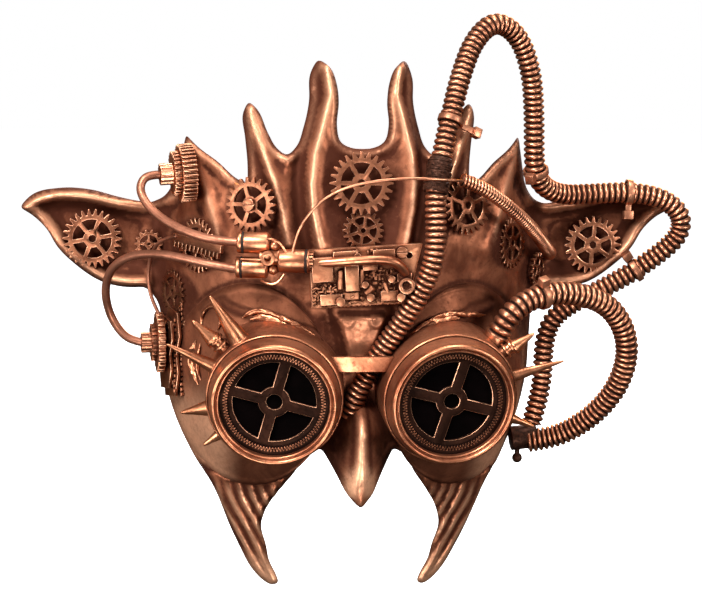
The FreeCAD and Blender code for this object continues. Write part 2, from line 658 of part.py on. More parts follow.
# ---------------------------------------------------------------- Y pipe fitting
def make_pipe_fitting():
    """Two inlet couplings joined by a cross block to one outlet coupling."""
    frame = aimed((-51.8, -48.7, 61), V(0.985, -0.17, 0), V(0, 0, 1))
    big = size("coupling_radius")

    def coupling(label, offset, start, radius, length, groove):
        """A grooved barrel; the groove holds an O-ring."""
        profile = [(0, 0), (radius - 0.6, 0), (radius, 0.6), (radius, groove - 0.5),
                   (radius - 0.7, groove - 0.5), (radius - 0.7, groove + 0.5), (radius, groove + 0.5),
                   (radius, length - 1), (radius - 1.2, length), (0, length)]
        place = frame.multiply(FreeCAD.Placement(V(offset, 0, start), FreeCAD.Rotation()))
        turned(label, profile, place)

    coupling("upper_inlet_coupling", 6.0, 0, big, 13.5, 2.4)
    coupling("lower_inlet_coupling", -4.2, -0.6, big, 13.5, 2.4)
    coupling("outlet_coupling", -1.2, 17, big + 0.4, 13.6, 11.4)
    cross = Part.makeCylinder(3.6, 9, V(0, 0, 9.5), V(0, 0, 1)).fuse([
        Part.makeSphere(2.3, V(5.2, 1, 15.5)), Part.makeSphere(2.3, V(-4.6, 1, 15)),
        Part.makeCylinder(2.9, 6, V(0.4, 0, 13), V(0, 1, 0))])
    port = Part.makeCylinder(1.4, 4, V(0.4, 3, 13), V(0, 1, 0))
    shaped("cross_block", cross.cut(port), frame)
    rings = []
    for offset, at, radius in ((6.0, 2.4, big), (-4.2, 1.8, big), (-1.2, 28.4, big + 0.4)):
        rings.append(Part.makeTorus(radius - 0.35, 0.5, V(offset, 0, at)))
    shaped("pipe_o_rings", Part.makeCompound(rings), frame)


# ---------------------------------------------------------------- circuit board
def make_board():
    frame = aimed((1.5, -50.2, 53.8), V(0, -1, 0), V(0.998, 0, 0.06))
    corners = [(-23.5, -12), (16, -12), (23.2, 12), (-23.4, 12)]
    padded("circuit_board", closed_lines(corners) + [circle(1.3, 17.5, 7.5)], "board_thickness", frame)
    top = size("board_thickness") - 0.3
    chips = [(-23, -1, 8.5, 10, 4.2), (-9.5, -5.5, 5.6, 10.5, 3.4), (-2, 2.5, 6, 3, 2.4),
             (5, -10.5, 7, 4, 2.2), (-20, -11, 9, 4.5, 2.0), (2.5, 6.5, 9, 4.2, 2.0),
             (12, -3, 6, 3.4, 1.8), (-14, 7.5, 10, 3.4, 2.4)]
    boxes = [Part.makeBox(wide, tall, deep, V(x, y, top)) for x, y, wide, tall, deep in chips]
    shaped("board_chips", Part.makeCompound(boxes), frame)
    cans = [(-12, -9.5, 1.8, 4.6), (0.5, -8.5, 1.6, 4.2), (-1.5, -3.2, 1.4, 3.6), (9.5, -1.5, 1.5, 3.4),
            (13, -9.3, 1.7, 3.8), (-4, 8.6, 1.4, 3.0)]
    shaped("board_cylinders",
           Part.makeCompound([Part.makeCylinder(r, deep, V(x, y, top)) for x, y, r, deep in cans]), frame)
    head = Part.makeCylinder(2.3, 1.3, V(14.5, 9.0, top))
    head = head.cut(Part.makeBox(6, 0.7, 1, V(11.5, 8.65, top + 0.9)))
    shaped("board_screw", head, frame)
    socket = Part.makeCylinder(3.3, 4.6, V(15.5, -4.6, top))
    socket = socket.cut(Part.makeCylinder(2.1, 3, V(15.5, -4.6, top + 2.6)))
    shaped("board_socket", socket, frame)


def make_strap_anchors():
    """A small drilled lug glued behind each ear root for the head strap."""
    length = size("anchor_length")
    lugs = []
    for _, side in SIDES:
        block = Part.makeBox(8, 9, length, V(side * 90 - 4, 15.5, 56))
        hole = Part.makeCylinder(size("anchor_bore"), length + 2, V(side * 90, 20.5, 55))
        lugs.append(block.cut(hole))
    shaped("strap_anchors", Part.makeCompound(lugs))


# ---------------------------------------------------------------- build, check and write
make_shell()
for side_name, side_sign in SIDES:
    make_eye_plate(side_name, side_sign)
    make_goggle(side_name, side_sign)
    make_spikes(side_name, side_sign)
make_bridge()
make_shell_gears()
make_brow_gear()
make_rack()
make_movement_plates()
make_knobs()
make_hoses()
make_hose_fittings()
make_ties()
make_pipe_fitting()
make_board()
make_strap_anchors()
doc.recompute()

for item in doc.Objects:
    if "Invalid" in item.State or "Error" in item.State:
        raise RuntimeError(f"{item.Label} did not compute: {item.State}")
for piece in pieces:
    if piece.Shape.isNull() or not piece.Shape.isValid() or piece.Shape.Volume <= 0:
        raise RuntimeError(f"{piece.Label} has no valid shape")
print(f"{len(pieces)} sub-parts")
os.makedirs("parts", exist_ok=True)
for piece in pieces:
    piece.Shape.exportStep(f"parts/{piece.Label}.step")
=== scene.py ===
"""Looks of the steampunk gargoyle half-mask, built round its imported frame. Metres, +Z up, front -Y."""
import bmesh
import bpy
import json
import math
import random
import numpy as np
from mathutils import Matrix, Vector
from mathutils.geometry import delaunay_2d_cdt


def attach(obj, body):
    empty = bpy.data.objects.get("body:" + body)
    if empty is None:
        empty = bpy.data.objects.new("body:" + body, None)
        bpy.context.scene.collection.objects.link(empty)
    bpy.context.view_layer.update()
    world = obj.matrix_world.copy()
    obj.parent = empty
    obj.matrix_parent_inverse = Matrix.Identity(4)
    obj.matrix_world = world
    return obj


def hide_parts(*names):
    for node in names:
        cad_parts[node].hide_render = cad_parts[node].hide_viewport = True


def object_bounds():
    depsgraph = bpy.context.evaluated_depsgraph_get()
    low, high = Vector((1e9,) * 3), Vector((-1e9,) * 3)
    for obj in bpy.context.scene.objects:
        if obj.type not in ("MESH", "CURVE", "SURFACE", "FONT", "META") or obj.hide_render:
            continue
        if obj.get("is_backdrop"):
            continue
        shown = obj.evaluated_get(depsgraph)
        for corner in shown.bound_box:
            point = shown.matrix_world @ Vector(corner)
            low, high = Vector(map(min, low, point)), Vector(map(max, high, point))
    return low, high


MM = 0.001
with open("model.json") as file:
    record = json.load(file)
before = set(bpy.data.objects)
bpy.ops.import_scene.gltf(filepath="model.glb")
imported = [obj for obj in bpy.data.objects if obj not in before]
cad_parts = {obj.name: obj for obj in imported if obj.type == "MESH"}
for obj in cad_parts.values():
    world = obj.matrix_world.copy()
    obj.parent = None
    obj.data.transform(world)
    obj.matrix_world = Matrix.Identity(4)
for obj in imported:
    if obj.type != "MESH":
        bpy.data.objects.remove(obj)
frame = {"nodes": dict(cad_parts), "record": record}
CAD_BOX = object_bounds()
SLOT_OF = {part["node"]: part["material_slot"] for part in frame["record"]["subparts"]}
BODY_OF = {node: body for body, nodes in frame["record"]["behaviour"]["bodies"].items() for node in nodes}
replaced_nodes = set()


# ---------------------------------------------------------------- materials
class Tree:
    """A material's node tree with short ways to add nodes."""

    def __init__(self, name):
        self.material = bpy.data.materials.new(name)
        self.material.use_nodes = True
        self.nodes = self.material.node_tree.nodes
        self.links = self.material.node_tree.links
        self.shader = self.nodes["Principled BSDF"]
        self.coords = self.nodes.new("ShaderNodeTexCoord").outputs["Object"]

    def put(self, socket, value):
        if isinstance(value, bpy.types.NodeSocket):
            self.links.new(value, socket)
        elif socket.type == "RGBA":
            socket.default_value = (*value[:3], 1.0)
        else:
            socket.default_value = value

    def surface(self, socket, value):
        self.put(self.shader.inputs[socket], value)

    def add(self, kind, output, inputs=(), **settings):
        """A new node with its settings and inputs filled in; returns one of its outputs."""
        node = self.nodes.new("ShaderNode" + kind)
        for key, value in settings.items():
            setattr(node, key, value)
        for socket, value in inputs:
            self.put(node.inputs[socket], value)
        return node.outputs[output]

    def noise(self, scale, detail=4.0, rough=0.5, distortion=0.0, vector=None):
        inputs = [("Vector", vector or self.coords), ("Scale", scale), ("Detail", detail),
                  ("Roughness", rough), ("Distortion", distortion)]
        return self.add("TexNoise", "Fac", inputs)

    def stretched(self, scale):
        """Object coordinates scaled unevenly, for streaks."""
        return self.add("Mapping", "Vector", [("Vector", self.coords), ("Scale", scale)])

    def spread(self, value, low, high, out_low=0.0, out_high=1.0):
        """Map low..high smoothly to out_low..out_high."""
        inputs = [("Value", value), ("From Min", low), ("From Max", high), ("To Min", out_low),
                  ("To Max", out_high)]
        return self.add("MapRange", "Result", inputs, interpolation_type="SMOOTHSTEP")

    def math(self, operation, first, second):
        """Two values added, multiplied or compared, kept within 0..1."""
        return self.add("Math", "Value", [(0, first), (1, second)], operation=operation, use_clamp=True)

    def mix(self, factor, first, second):
        return self.add("Mix", "Result", [("Factor", factor), ("A", first), ("B", second)], data_type="RGBA")

    def attribute(self, name):
        return self.add("Attribute", "Fac", attribute_name=name)

    def occlusion(self, distance):
        """1 where the surface is open, towards 0 in tight corners."""
        return self.add("AmbientOcclusion", "AO", [("Distance", distance)], samples=6)

    def bump(self, height, strength, distance):
        inputs = [("Strength", strength), ("Distance", distance), ("Height", height)]
        self.surface("Normal", self.add("Bump", "Normal", inputs))


def copper(name, bright, middle, dark, rough=0.36, metal=0.9, reach=0.004, hollow=(0.35, 0.85), relief=None,
           grain=0.25, streaks=None, crest=None):
    """Antique copper: worn bright tone, brown middle tone, and dark tarnish with painted shade in the
    hollows; with a crest attribute, painted highlights and bright wear on the ridges.
    """
    tree = Tree(name)
    clouds = tree.noise(55, 5, 0.6, 0.6)
    mottle = tree.noise(420, 6, 0.65, 0.4)
    speck = tree.noise(1900, 3, 0.6)
    # painted shade: darker in tight corners by ambient occlusion, and where the relief attribute is high;
    # this darkness also stands for tarnish
    shade = tree.spread(tree.occlusion(reach), *hollow, 1.0, 0.0)
    if relief:
        shade = tree.math("MAXIMUM", shade, tree.math("MULTIPLY", tree.attribute(relief), 0.98))
    tone = tree.mix(tree.spread(clouds, 0.38, 0.66), bright, middle)
    if streaks:
        lines = tree.noise(1.0, 5, 0.6, 0.3, tree.stretched(streaks))
        tone = tree.mix(tree.spread(lines, 0.42, 0.7, 0.0, 0.6), tone, middle)
    tone = tree.mix(tree.spread(mottle, 0.52, 0.74, 0.0, 0.55), tone, dark)
    tone = tree.mix(tree.spread(speck, 0.60, 0.78, 0.0, 0.45), tone, dark)
    ragged = tree.math("MULTIPLY", shade, tree.spread(mottle, 0.2, 0.55, 0.82, 1.15))
    # painted highlights and bright wear on the ridges, where the crest attribute is high
    if crest:
        wear_and_highlight = tree.math("MULTIPLY", tree.attribute(crest), tree.spread(mottle, 0.3, 0.8, 1.0, 0.55))
        tone = tree.mix(wear_and_highlight, tone, WORN_AND_HIGHLIGHT_TONE)
        ragged = tree.math("SUBTRACT", ragged, tree.math("MULTIPLY", wear_and_highlight, 0.8))
    tree.surface("Base Color", tree.mix(ragged, tone, dark))
    gloss = tree.spread(mottle, 0.3, 0.75, rough - 0.06, rough + 0.12)
    gloss = tree.math("ADD", gloss, tree.spread(ragged, 0.2, 1, 0, 0.22))
    tree.surface("Roughness", gloss)
    tree.surface("Metallic", tree.spread(ragged, 0.1, 1.0, metal, metal * 0.45))
    grains = tree.math("ADD", tree.math("MULTIPLY", mottle, 0.6), tree.math("MULTIPLY", speck, 0.4))
    tree.bump(grains, grain, 0.0003)
    tree.surface("Specular IOR Level", 0.2)
    tree.surface("Specular Tint", (1.0, 0.5, 0.3, 1))
    return tree.material


def plain(name, light, deep, rough, metal=0.0, scale=500, grain=0.3):
    """A dark or rubbery finish with two close tones and a fine grain."""
    tree = Tree(name)
    cloud = tree.noise(scale, 6, 0.6, 0.3)
    tree.surface("Base Color", tree.mix(tree.spread(cloud, 0.35, 0.7), light, deep))
    tree.surface("Roughness", tree.spread(cloud, 0.3, 0.7, rough - 0.05, rough + 0.1))
    tree.surface("Metallic", metal)
    tree.surface("Specular IOR Level", 0.2)
    tree.surface("Specular Tint", (1.0, 0.6, 0.45, 1))
    tree.bump(cloud, grain, 0.0002)
    return tree.material


# colour of the painted highlights and bright wear on the ridges
WORN_AND_HIGHLIGHT_TONE = (0.83, 0.43, 0.25)
DARK = (0.050, 0.013, 0.007)
# darkest tone of hose and wire: dark specks and the painted shade in their grooves
DARK_SPECK_AND_SHADE = (0.012, 0.005, 0.004)
MATERIALS = {
    "moulded_copper": copper("moulded_copper", (0.38, 0.135, 0.068), (0.14, 0.041, 0.020), DARK, 0.42, 0.62,
                             relief="hollow", grain=0.3, streaks=(90, 90, 25), crest="crest"),
    "plate_finish": copper("plate_finish", (0.19, 0.064, 0.032), (0.085, 0.026, 0.013), DARK, 0.50, 0.55,
                           relief="hollow", grain=0.3, streaks=(90, 90, 25), crest="crest"),
    "goggle_copper": copper("goggle_copper", (0.50, 0.19, 0.095), (0.23, 0.073, 0.035), DARK, 0.33, 0.9,
                            0.003, relief="hollow"),
    "spike_copper": copper("spike_copper", (0.60, 0.24, 0.12), (0.34, 0.125, 0.06), DARK, 0.33, 0.95),
    "gear_copper": copper("gear_copper", (0.29, 0.110, 0.057), (0.13, 0.045, 0.023), DARK, 0.40, 0.9, 0.0022,
                          grain=0.35),
    "fitting_copper": copper("fitting_copper", (0.52, 0.210, 0.108), (0.28, 0.100, 0.050), DARK, 0.36, 0.95,
                             0.0016, (0.3, 0.7), grain=0.1),
    "board_copper": copper("board_copper", (0.50, 0.205, 0.105), (0.22, 0.080, 0.040), DARK, 0.42, 0.85,
                           0.0030, (0.55, 1.0), grain=0.4),
    "hose_copper": copper("hose_copper", (0.56, 0.235, 0.13), (0.30, 0.112, 0.06), DARK_SPECK_AND_SHADE, 0.33, 0.9,
                          0.0012, (0.2, 0.6), relief="hollow", grain=0.15),
    "copper_wire": copper("copper_wire", (0.60, 0.26, 0.145), (0.34, 0.13, 0.07), DARK_SPECK_AND_SHADE, 0.33, 0.95,
                          0.001, (0.3, 0.7), relief="hollow", grain=0.1),
    "rubber_tube": copper("rubber_tube", (0.34, 0.135, 0.080), (0.22, 0.083, 0.048), DARK, 0.42, 0.75, 0.002,
                          (0.2, 0.6), grain=0.1),
    "cable_tie": copper("cable_tie", (0.48, 0.20, 0.11), (0.27, 0.105, 0.058), DARK, 0.40, 0.8, 0.0016,
                        (0.3, 0.8), grain=0.15),
    "worn_edge": copper("worn_edge", (0.74, 0.37, 0.215), (0.50, 0.22, 0.125), DARK, 0.30, 0.95, 0.0008,
                        (0.2, 0.6), grain=0.08),
    "dark_bronze": copper("dark_bronze", (0.022, 0.008, 0.005), (0.009, 0.004, 0.003), (0.004, 0.002, 0.002),
                          0.55, 0.6, 0.0015),
    "dark_wrap": plain("dark_wrap", (0.060, 0.022, 0.013), (0.006, 0.003, 0.002), 0.45, 0.3, 900, 0.6),
    "black_rubber": plain("black_rubber", (0.012, 0.01, 0.01), (0.03, 0.02, 0.018), 0.45),
    "black_lens": plain("black_lens", (0.0012, 0.0008, 0.0008), (0.002, 0.0012, 0.0012), 0.3, 0.0, 120, 0.02),
}
MATERIALS["black_lens"].node_tree.nodes["Principled BSDF"].inputs["Specular IOR Level"].default_value = 0.0


# ---------------------------------------------------------------- mesh helpers
def make_piece(name, verts, faces, slot, body="root", smooth=True, replaces=(), hollow=None):
    """A mesh object that rides on a body and takes a material slot of the record."""
    mesh = bpy.data.meshes.new(name)
    mesh.from_pydata([tuple(v) for v in verts], [], [tuple(f) for f in faces])
    mesh.update()
    mesh.polygons.foreach_set("use_smooth", [smooth] * len(mesh.polygons))
    piece = bpy.data.objects.new(name, mesh)
    bpy.context.scene.collection.objects.link(piece)
    if hollow is not None:
        paint(piece, "hollow", hollow)
    finish_piece(piece, slot, body, replaces)
    return piece


def paint(piece, name, values):
    """Write one number per vertex, for the materials to read."""
    layer = piece.data.attributes.new(name, "FLOAT", "POINT")
    layer.data.foreach_set("value", np.asarray(values, dtype=np.float32))


def finish_piece(piece, slot, body="root", replaces=(), keep_materials=False):
    if not keep_materials:
        piece.data.materials.clear()
        piece.data.materials.append(MATERIALS[slot])
    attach(piece, body)
    if replaces:
        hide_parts(*replaces)
        replaced_nodes.update(replaces)


def apply_modifiers(piece):
    """Turn the piece's modifiers into plain mesh."""
    graph = bpy.context.evaluated_depsgraph_get()
    mesh = bpy.data.meshes.new_from_object(piece.evaluated_get(graph))
    piece.modifiers.clear()
    piece.data = mesh


def dress(node, slot, body, bevel, worn=False):
    """A finished copy of a frame part: the same shape with its sharp edges rounded off."""
    crease = math.radians(32)
    source = frame["nodes"][node]
    piece = bpy.data.objects.new(node + "_finished", source.data.copy())
    bpy.context.scene.collection.objects.link(piece)
    weld = piece.modifiers.new("weld", "WELD")
    weld.merge_threshold = 0.00001
    flat = piece.modifiers.new("flat", "DECIMATE")
    flat.decimate_type = "DISSOLVE"
    flat.angle_limit = math.radians(1.0)
    edge = piece.modifiers.new("edge", "BEVEL")
    edge.width = bevel * MM
    edge.segments = 2
    edge.limit_method = "ANGLE"
    edge.angle_limit = crease
    edge.use_clamp_overlap = True
    if worn:
        piece.data.materials.clear()
        piece.data.materials.append(MATERIALS[slot])
        piece.data.materials.append(MATERIALS["worn_edge"])
        edge.material = 1
    apply_modifiers(piece)
    piece.data.polygons.foreach_set("use_smooth", [True] * len(piece.data.polygons))
    piece.data.set_sharp_from_angle(angle=crease)
    finish_piece(piece, slot, body, (node,), keep_materials=worn)
    return piece


def lathe(profile, steps):
    """Verts and faces of a closed profile of (radius, height) in mm turned about Z."""
    count = len(profile)
    verts, faces = [], []
    for step in range(steps):
        turn = 2 * math.pi * step / steps
        verts += [(r * math.cos(turn), r * math.sin(turn), h) for r, h in profile]
        here, there = step * count, (step + 1) % steps * count
        for index in range(count):
            after = (index + 1) % count
            faces.append((here + index, there + index, there + after, here + after))
    return verts, faces


def rounded(points, radii, steps=4):
    """Round off the corners of a closed outline, each with its own radius."""
    result = []
    for index, (corner, size) in enumerate(zip(points, radii)):
        corner = Vector(corner)
        back = Vector(points[index - 1]) - corner
        ahead = Vector(points[(index + 1) % len(points)]) - corner
        reach = min(size, 0.45 * back.length, 0.45 * ahead.length)
        start = corner + back.normalized() * reach
        end = corner + ahead.normalized() * reach
        for step in range(steps + 1):
            t = step / steps
            spot = start * (1 - t) ** 2 + corner * 2 * t * (1 - t) + end * t ** 2
            result.append((spot.x, spot.y))
    return result


def axes_frame(centre, outward, across=(1, 0, 0)):
    """Matrix whose Z points outward and whose X is as near to across as it can be. Centre in metres."""
    z = Vector(outward).normalized()
    x = Vector(across)
    x = (x - z * x.dot(z)).normalized()
    y = z.cross(x)
    matrix = Matrix((x, y, z)).transposed().to_4x4()
    matrix.translation = Vector(centre)
    return matrix


def placed(verts, matrix):
    """Points in mm of a local frame, as points in metres of the object's frame."""
    return [matrix @ (Vector(v) * MM) for v in verts]


def nurbs_line(points):
    """The smooth line of a route: its NURBS spline, read as a dense list of points in metres."""
    curve = bpy.data.curves.new("route", "CURVE")
    curve.dimensions = "3D"
    spline = curve.splines.new("NURBS")
    spline.points.add(len(points) - 1)
    for spot, point in zip(spline.points, points):
        spot.co = (*[c * MM for c in point], 1.0)
    spline.order_u = 3
    spline.use_endpoint_u = True
    spline.resolution_u = 24
    holder = bpy.data.objects.new("route", curve)
    mesh = bpy.data.meshes.new_from_object(holder)
    line = np.array([v.co[:] for v in mesh.vertices])
    bpy.data.objects.remove(holder)
    bpy.data.curves.remove(curve)
    bpy.data.meshes.remove(mesh)
    return line


def even(line, step):
    """The same line with points an even step apart."""
    runs = np.linalg.norm(np.diff(line, axis=0), axis=1)
    reach = np.concatenate([[0], np.cumsum(runs)])
    count = max(2, int(round(reach[-1] / step)))
    spots = np.linspace(0, reach[-1], count + 1)
    return np.stack([np.interp(spots, reach, line[:, k]) for k in range(3)], axis=1), spots


def carried_axes(line):
    """Two unit vectors across the line at each of its points, carried along it without twist."""
    along = np.gradient(line, axis=0)
    along /= np.linalg.norm(along, axis=1)[:, None]
    side = np.cross(along[0], (0.1, 0.2, 1.0))
    side /= np.linalg.norm(side)
    sides = []
    for direction in along:
        side = side - direction * side.dot(direction)
        side = side / np.linalg.norm(side)
        sides.append(side)
    sides = np.array(sides)
    return along, sides, np.cross(along, sides)


def tube(line, radii, around=20):
    """Verts and faces of a closed tube; radii has one radius per point of the line, or one per vertex."""
    _, side, up = carried_axes(line)
    turn = np.linspace(0, 2 * math.pi, around, endpoint=False)
    ring = np.cos(turn)[None, :, None] * side[:, None] + np.sin(turn)[None, :, None] * up[:, None]
    verts = (line[:, None] + ring * np.reshape(radii, (len(line), -1, 1))).reshape(-1, 3)
    faces = []
    for index in range(len(line) - 1):
        for step in range(around):
            after = (step + 1) % around
            low, high = index * around, (index + 1) * around
            faces.append((low + step, low + after, high + after, high + step))
    faces.append(tuple(range(around))[::-1])
    faces.append(tuple(range((len(line) - 1) * around, len(line) * around)))
    return verts, faces


# ---------------------------------------------------------------- sculpted face
def line_distance(x, z, points):
    """Distance from each point to a polyline, signed: positive on its outer side."""
    best = np.full(x.shape, 1e9)
    signed = np.zeros(x.shape)
    for (x0, z0), (x1, z1) in zip(points, points[1:]):
        run_x, run_z = x1 - x0, z1 - z0
        along = np.clip(((x - x0) * run_x + (z - z0) * run_z) / (run_x ** 2 + run_z ** 2), 0, 1)
        gap_x, gap_z = x - x0 - along * run_x, z - z0 - along * run_z
        gap = np.hypot(gap_x, gap_z)
        cross = gap_x * run_z - gap_z * run_x
        signed = np.where(gap < best, np.sign(cross) * gap, signed)
        best = np.minimum(best, gap)
    return signed


def soft_front(a, b, blend):
    overlap = np.maximum(blend - np.abs(a - b), 0) / blend
    return np.minimum(a, b) - overlap ** 2 * blend / 4


def bell(distance, width):
    return np.exp(-(distance / width) ** 2)


def ramp(value, low, high):
    t = np.clip((value - low) / (high - low), 0, 1)
    return t * t * (3 - 2 * t)


def head_depth(x, z):
    bow = np.where(z > 50, 0.0013, 0.0020)
    reach = np.minimum(np.abs(x) / 84, 1)
    head = -47 + bow * (z - 50) ** 2 + 89 * (1 - np.sqrt(1 - reach ** 2))
    ear = 14 + 0.08 * np.maximum(np.abs(x) - 80, 0)
    return soft_front(head, ear, 12)


def beak_depth(x, z):
    fade = np.clip((12 - z) / 26, 0, 1)
    crest = -36 - 21 * fade * fade * (3 - 2 * fade) + 0.003 * (z + 20) ** 2
    return crest + 1.35 * (np.sqrt(x * x + 3) - 1.7)


CENTRE_RIDGE = [(17.2, 64), (20.5, 80), (21.3, 91), (20, 103), (17, 114), (13.8, 127), (15, 138)]
SECOND_RIDGE = [(30.5, 66), (32.8, 79), (36.4, 91.5), (40, 101.5), (43.5, 111), (46, 120)]
TEMPLE_RIDGE = [(57, 62), (63, 84), (70, 104)]
EAR_TOP_RIM = [(78, 79), (98, 77), (124, 80), (138, 75)]
EAR_LOW_RIM = [(86, 43), (104, 44), (120, 54), (138, 73)]
FANG_RIDGE = [(60, -20), (52, -48), (34, -84)]
BEAK_FORK = [(0, -6), (0, -22), (2.0, -30), (5.0, -38)]


def face_depth(x, z):
    """Outer face of the shell without its fine relief; mm."""
    side = np.abs(x)
    hollow = 3 * np.exp(-(x ** 2 + (z - 10) ** 2) / 14 ** 2)
    y = soft_front(head_depth(x, z) + hollow, beak_depth(x, z), 4)
    centre = line_distance(side, z, CENTRE_RIDGE)
    y = y - 5 * np.where(centre > 0, bell(centre, 3.2), bell(centre, 7)) + 2 * bell(centre - 6.5, 2.6)
    second = line_distance(side, z, SECOND_RIDGE)
    y = y - 4 * np.where(second > 0, bell(second, 3.5), bell(second, 5.5))
    for ridge, height, width in ((TEMPLE_RIDGE, 3, 6), (EAR_TOP_RIM, 3.5, 3.6), (EAR_LOW_RIM, 3.5, 3.6),
                                 (FANG_RIDGE, 3, 7)):
        y = y - height * bell(line_distance(side, z, ridge), width)
    return y


SIDES = (("left", -1), ("right", 1))
RIGHT_OUTLINE = [
    [(0, -43.5), (5, -38.5), (10, -29.5), (15, -21)],
    [(15, -21), (19, -23.5), (26, -34), (31.5, -42), (36, -50), (38, -58), (35.5, -68), (34, -75), (31, -81),
     (29.5, -85)],
    [(29.5, -85), (32.5, -86.5), (37, -84), (41.5, -79), (46, -70.5), (50.5, -61), (58, -43), (67, -29),
     (74, -14), (78.5, 3), (79.5, 20), (81.5, 34), (87, 40)],
    [(87, 40), (96, 39.8), (106, 42.5), (117, 50), (124, 57), (128.5, 64.5), (134, 70), (140, 74)],
    [(140, 74), (134, 79.5), (124, 82), (110, 81.5), (98, 78.6), (85, 76.2)],
    [(85, 76.2), (79, 79.5), (75.5, 85), (73, 95), (70.5, 107)],
    [(70.5, 107), (66, 102.5), (58, 97), (50, 90.3), (46.3, 88.8)],
    [(46.3, 88.8), (46.3, 97), (47.3, 108), (48.2, 118), (46, 123)],
    [(46, 123), (42.7, 120), (38.2, 110), (34.5, 104), (30.5, 101.6), (27, 104.5), (23.8, 113), (21.5, 124),
     (21.2, 134), (18, 141)],
    [(18, 141), (13.5, 138), (11, 132), (10, 124), (10.7, 114), (9, 107.5), (4, 105), (0, 104.8)],
]
WALL = 3.0
SHELL_STEP = 1.0
HOLE_RADIUS = 27.4
# the oval of an eye plate: its centre, half width and half height
PLATE_X, PLATE_Z, PLATE_WIDE, PLATE_TALL = 44, 4, 32, 44


def smooth_run(points, step):
    """A smooth curve through the points, as evenly spaced points without the last one."""
    spots = np.array(points, dtype=float)
    gaps = np.linalg.norm(np.diff(spots, axis=0), axis=1)
    at = np.concatenate([[0], np.cumsum(gaps)])
    slopes = np.gradient(spots, at, axis=0, edge_order=2 if len(points) > 2 else 1)
    fine = np.linspace(0, at[-1], max(3, int(round(at[-1] / step)) + 1))[:-1]
    index = np.clip(np.searchsorted(at, fine, side="right") - 1, 0, len(gaps) - 1)
    gap = gaps[index][:, None]
    t = ((fine - at[index]) / gaps[index])[:, None]
    return ((2 * t ** 3 - 3 * t ** 2 + 1) * spots[index] + (t ** 3 - 2 * t ** 2 + t) * gap * slopes[index]
            + (3 * t ** 2 - 2 * t ** 3) * spots[index + 1] + (t ** 3 - t ** 2) * gap * slopes[index + 1])


def goggle_matrix(side):
    """Local frame of a goggle: Z outward, X across, origin level with the rim's front. Metres."""
    splay, pitch = math.radians(6), math.radians(11)
    outward = (side * math.sin(splay) * math.cos(pitch), -math.cos(splay) * math.cos(pitch), -math.sin(pitch))
    across = (math.cos(splay), side * math.sin(splay), 0)
    return axes_frame((side * 37.1 * MM, -62 * MM, 1.5 * MM), outward, across)


def goggle_loop(side, radius, depth, steps):
    """Where a cylinder round the goggle axis meets a surface y = depth(x, z): (x, z) points in mm."""
    matrix = goggle_matrix(side)
    centre = np.array(matrix.translation) / MM
    x_axis, y_axis, z_axis = (np.array(matrix.col[k][:3]) for k in range(3))
    turn = np.linspace(0, 2 * math.pi, steps, endpoint=False)[:, None]
    ring = centre + radius * (np.cos(turn) * x_axis + np.sin(turn) * y_axis)
    reach = np.full(steps, -20.0)
    for _ in range(40):
        spot = ring + reach[:, None] * z_axis
        miss = depth(spot[:, 0], spot[:, 2]) - spot[:, 1]
        reach += 0.5 * miss / z_axis[1]
    spot = ring + reach[:, None] * z_axis
    return spot[:, [0, 2]]


def lumps(x, z, size, seed, y=0.0):
    """Smooth random heights, about -1 to 1, on a grid of the given size; the same numbers on every run."""
    total = np.zeros(len(x))
    strength = 1.0
    for octave in range(3):
        grid = np.random.RandomState(seed + octave).uniform(-1, 1, (32, 32, 32))
        spots = [(v / size + 100.37 * (k + 1)) for k, v in enumerate((x, y, z))]
        whole = [np.floor(v).astype(int) for v in spots]
        part = [v - w for v, w in zip(spots, whole)]
        part = [p * p * (3 - 2 * p) for p in part]
        value = 0
        for corner in range(8):
            pick = [(corner >> k) & 1 for k in range(3)]
            weight = 1
            for k in range(3):
                weight = weight * (part[k] if pick[k] else 1 - part[k])
            value = value + weight * grid[tuple((whole[k] + pick[k]) % 32 for k in range(3))]
        total += value * strength
        strength *= 0.5
        size *= 0.5
    return total


def fang_ribs(side, z):
    """Height of the long ribs that run down a fang, -1 to 1."""
    return np.cos(line_distance(side, z, FANG_RIDGE) * 2 * math.pi / 4.4 + 0.6 + 0.5 * np.sin(z / 9))


def fang_seam(x, z):
    """Distance above the ragged seam between cheek and fang."""
    return z + 35 + 1.8 * lumps(x, z, 4.0, 11)


def block_side(side, z, half):
    """How far inside the nose block's slanting side a point lies; half is its half width at the foot."""
    return half + 0.3 * (z - 14) - side


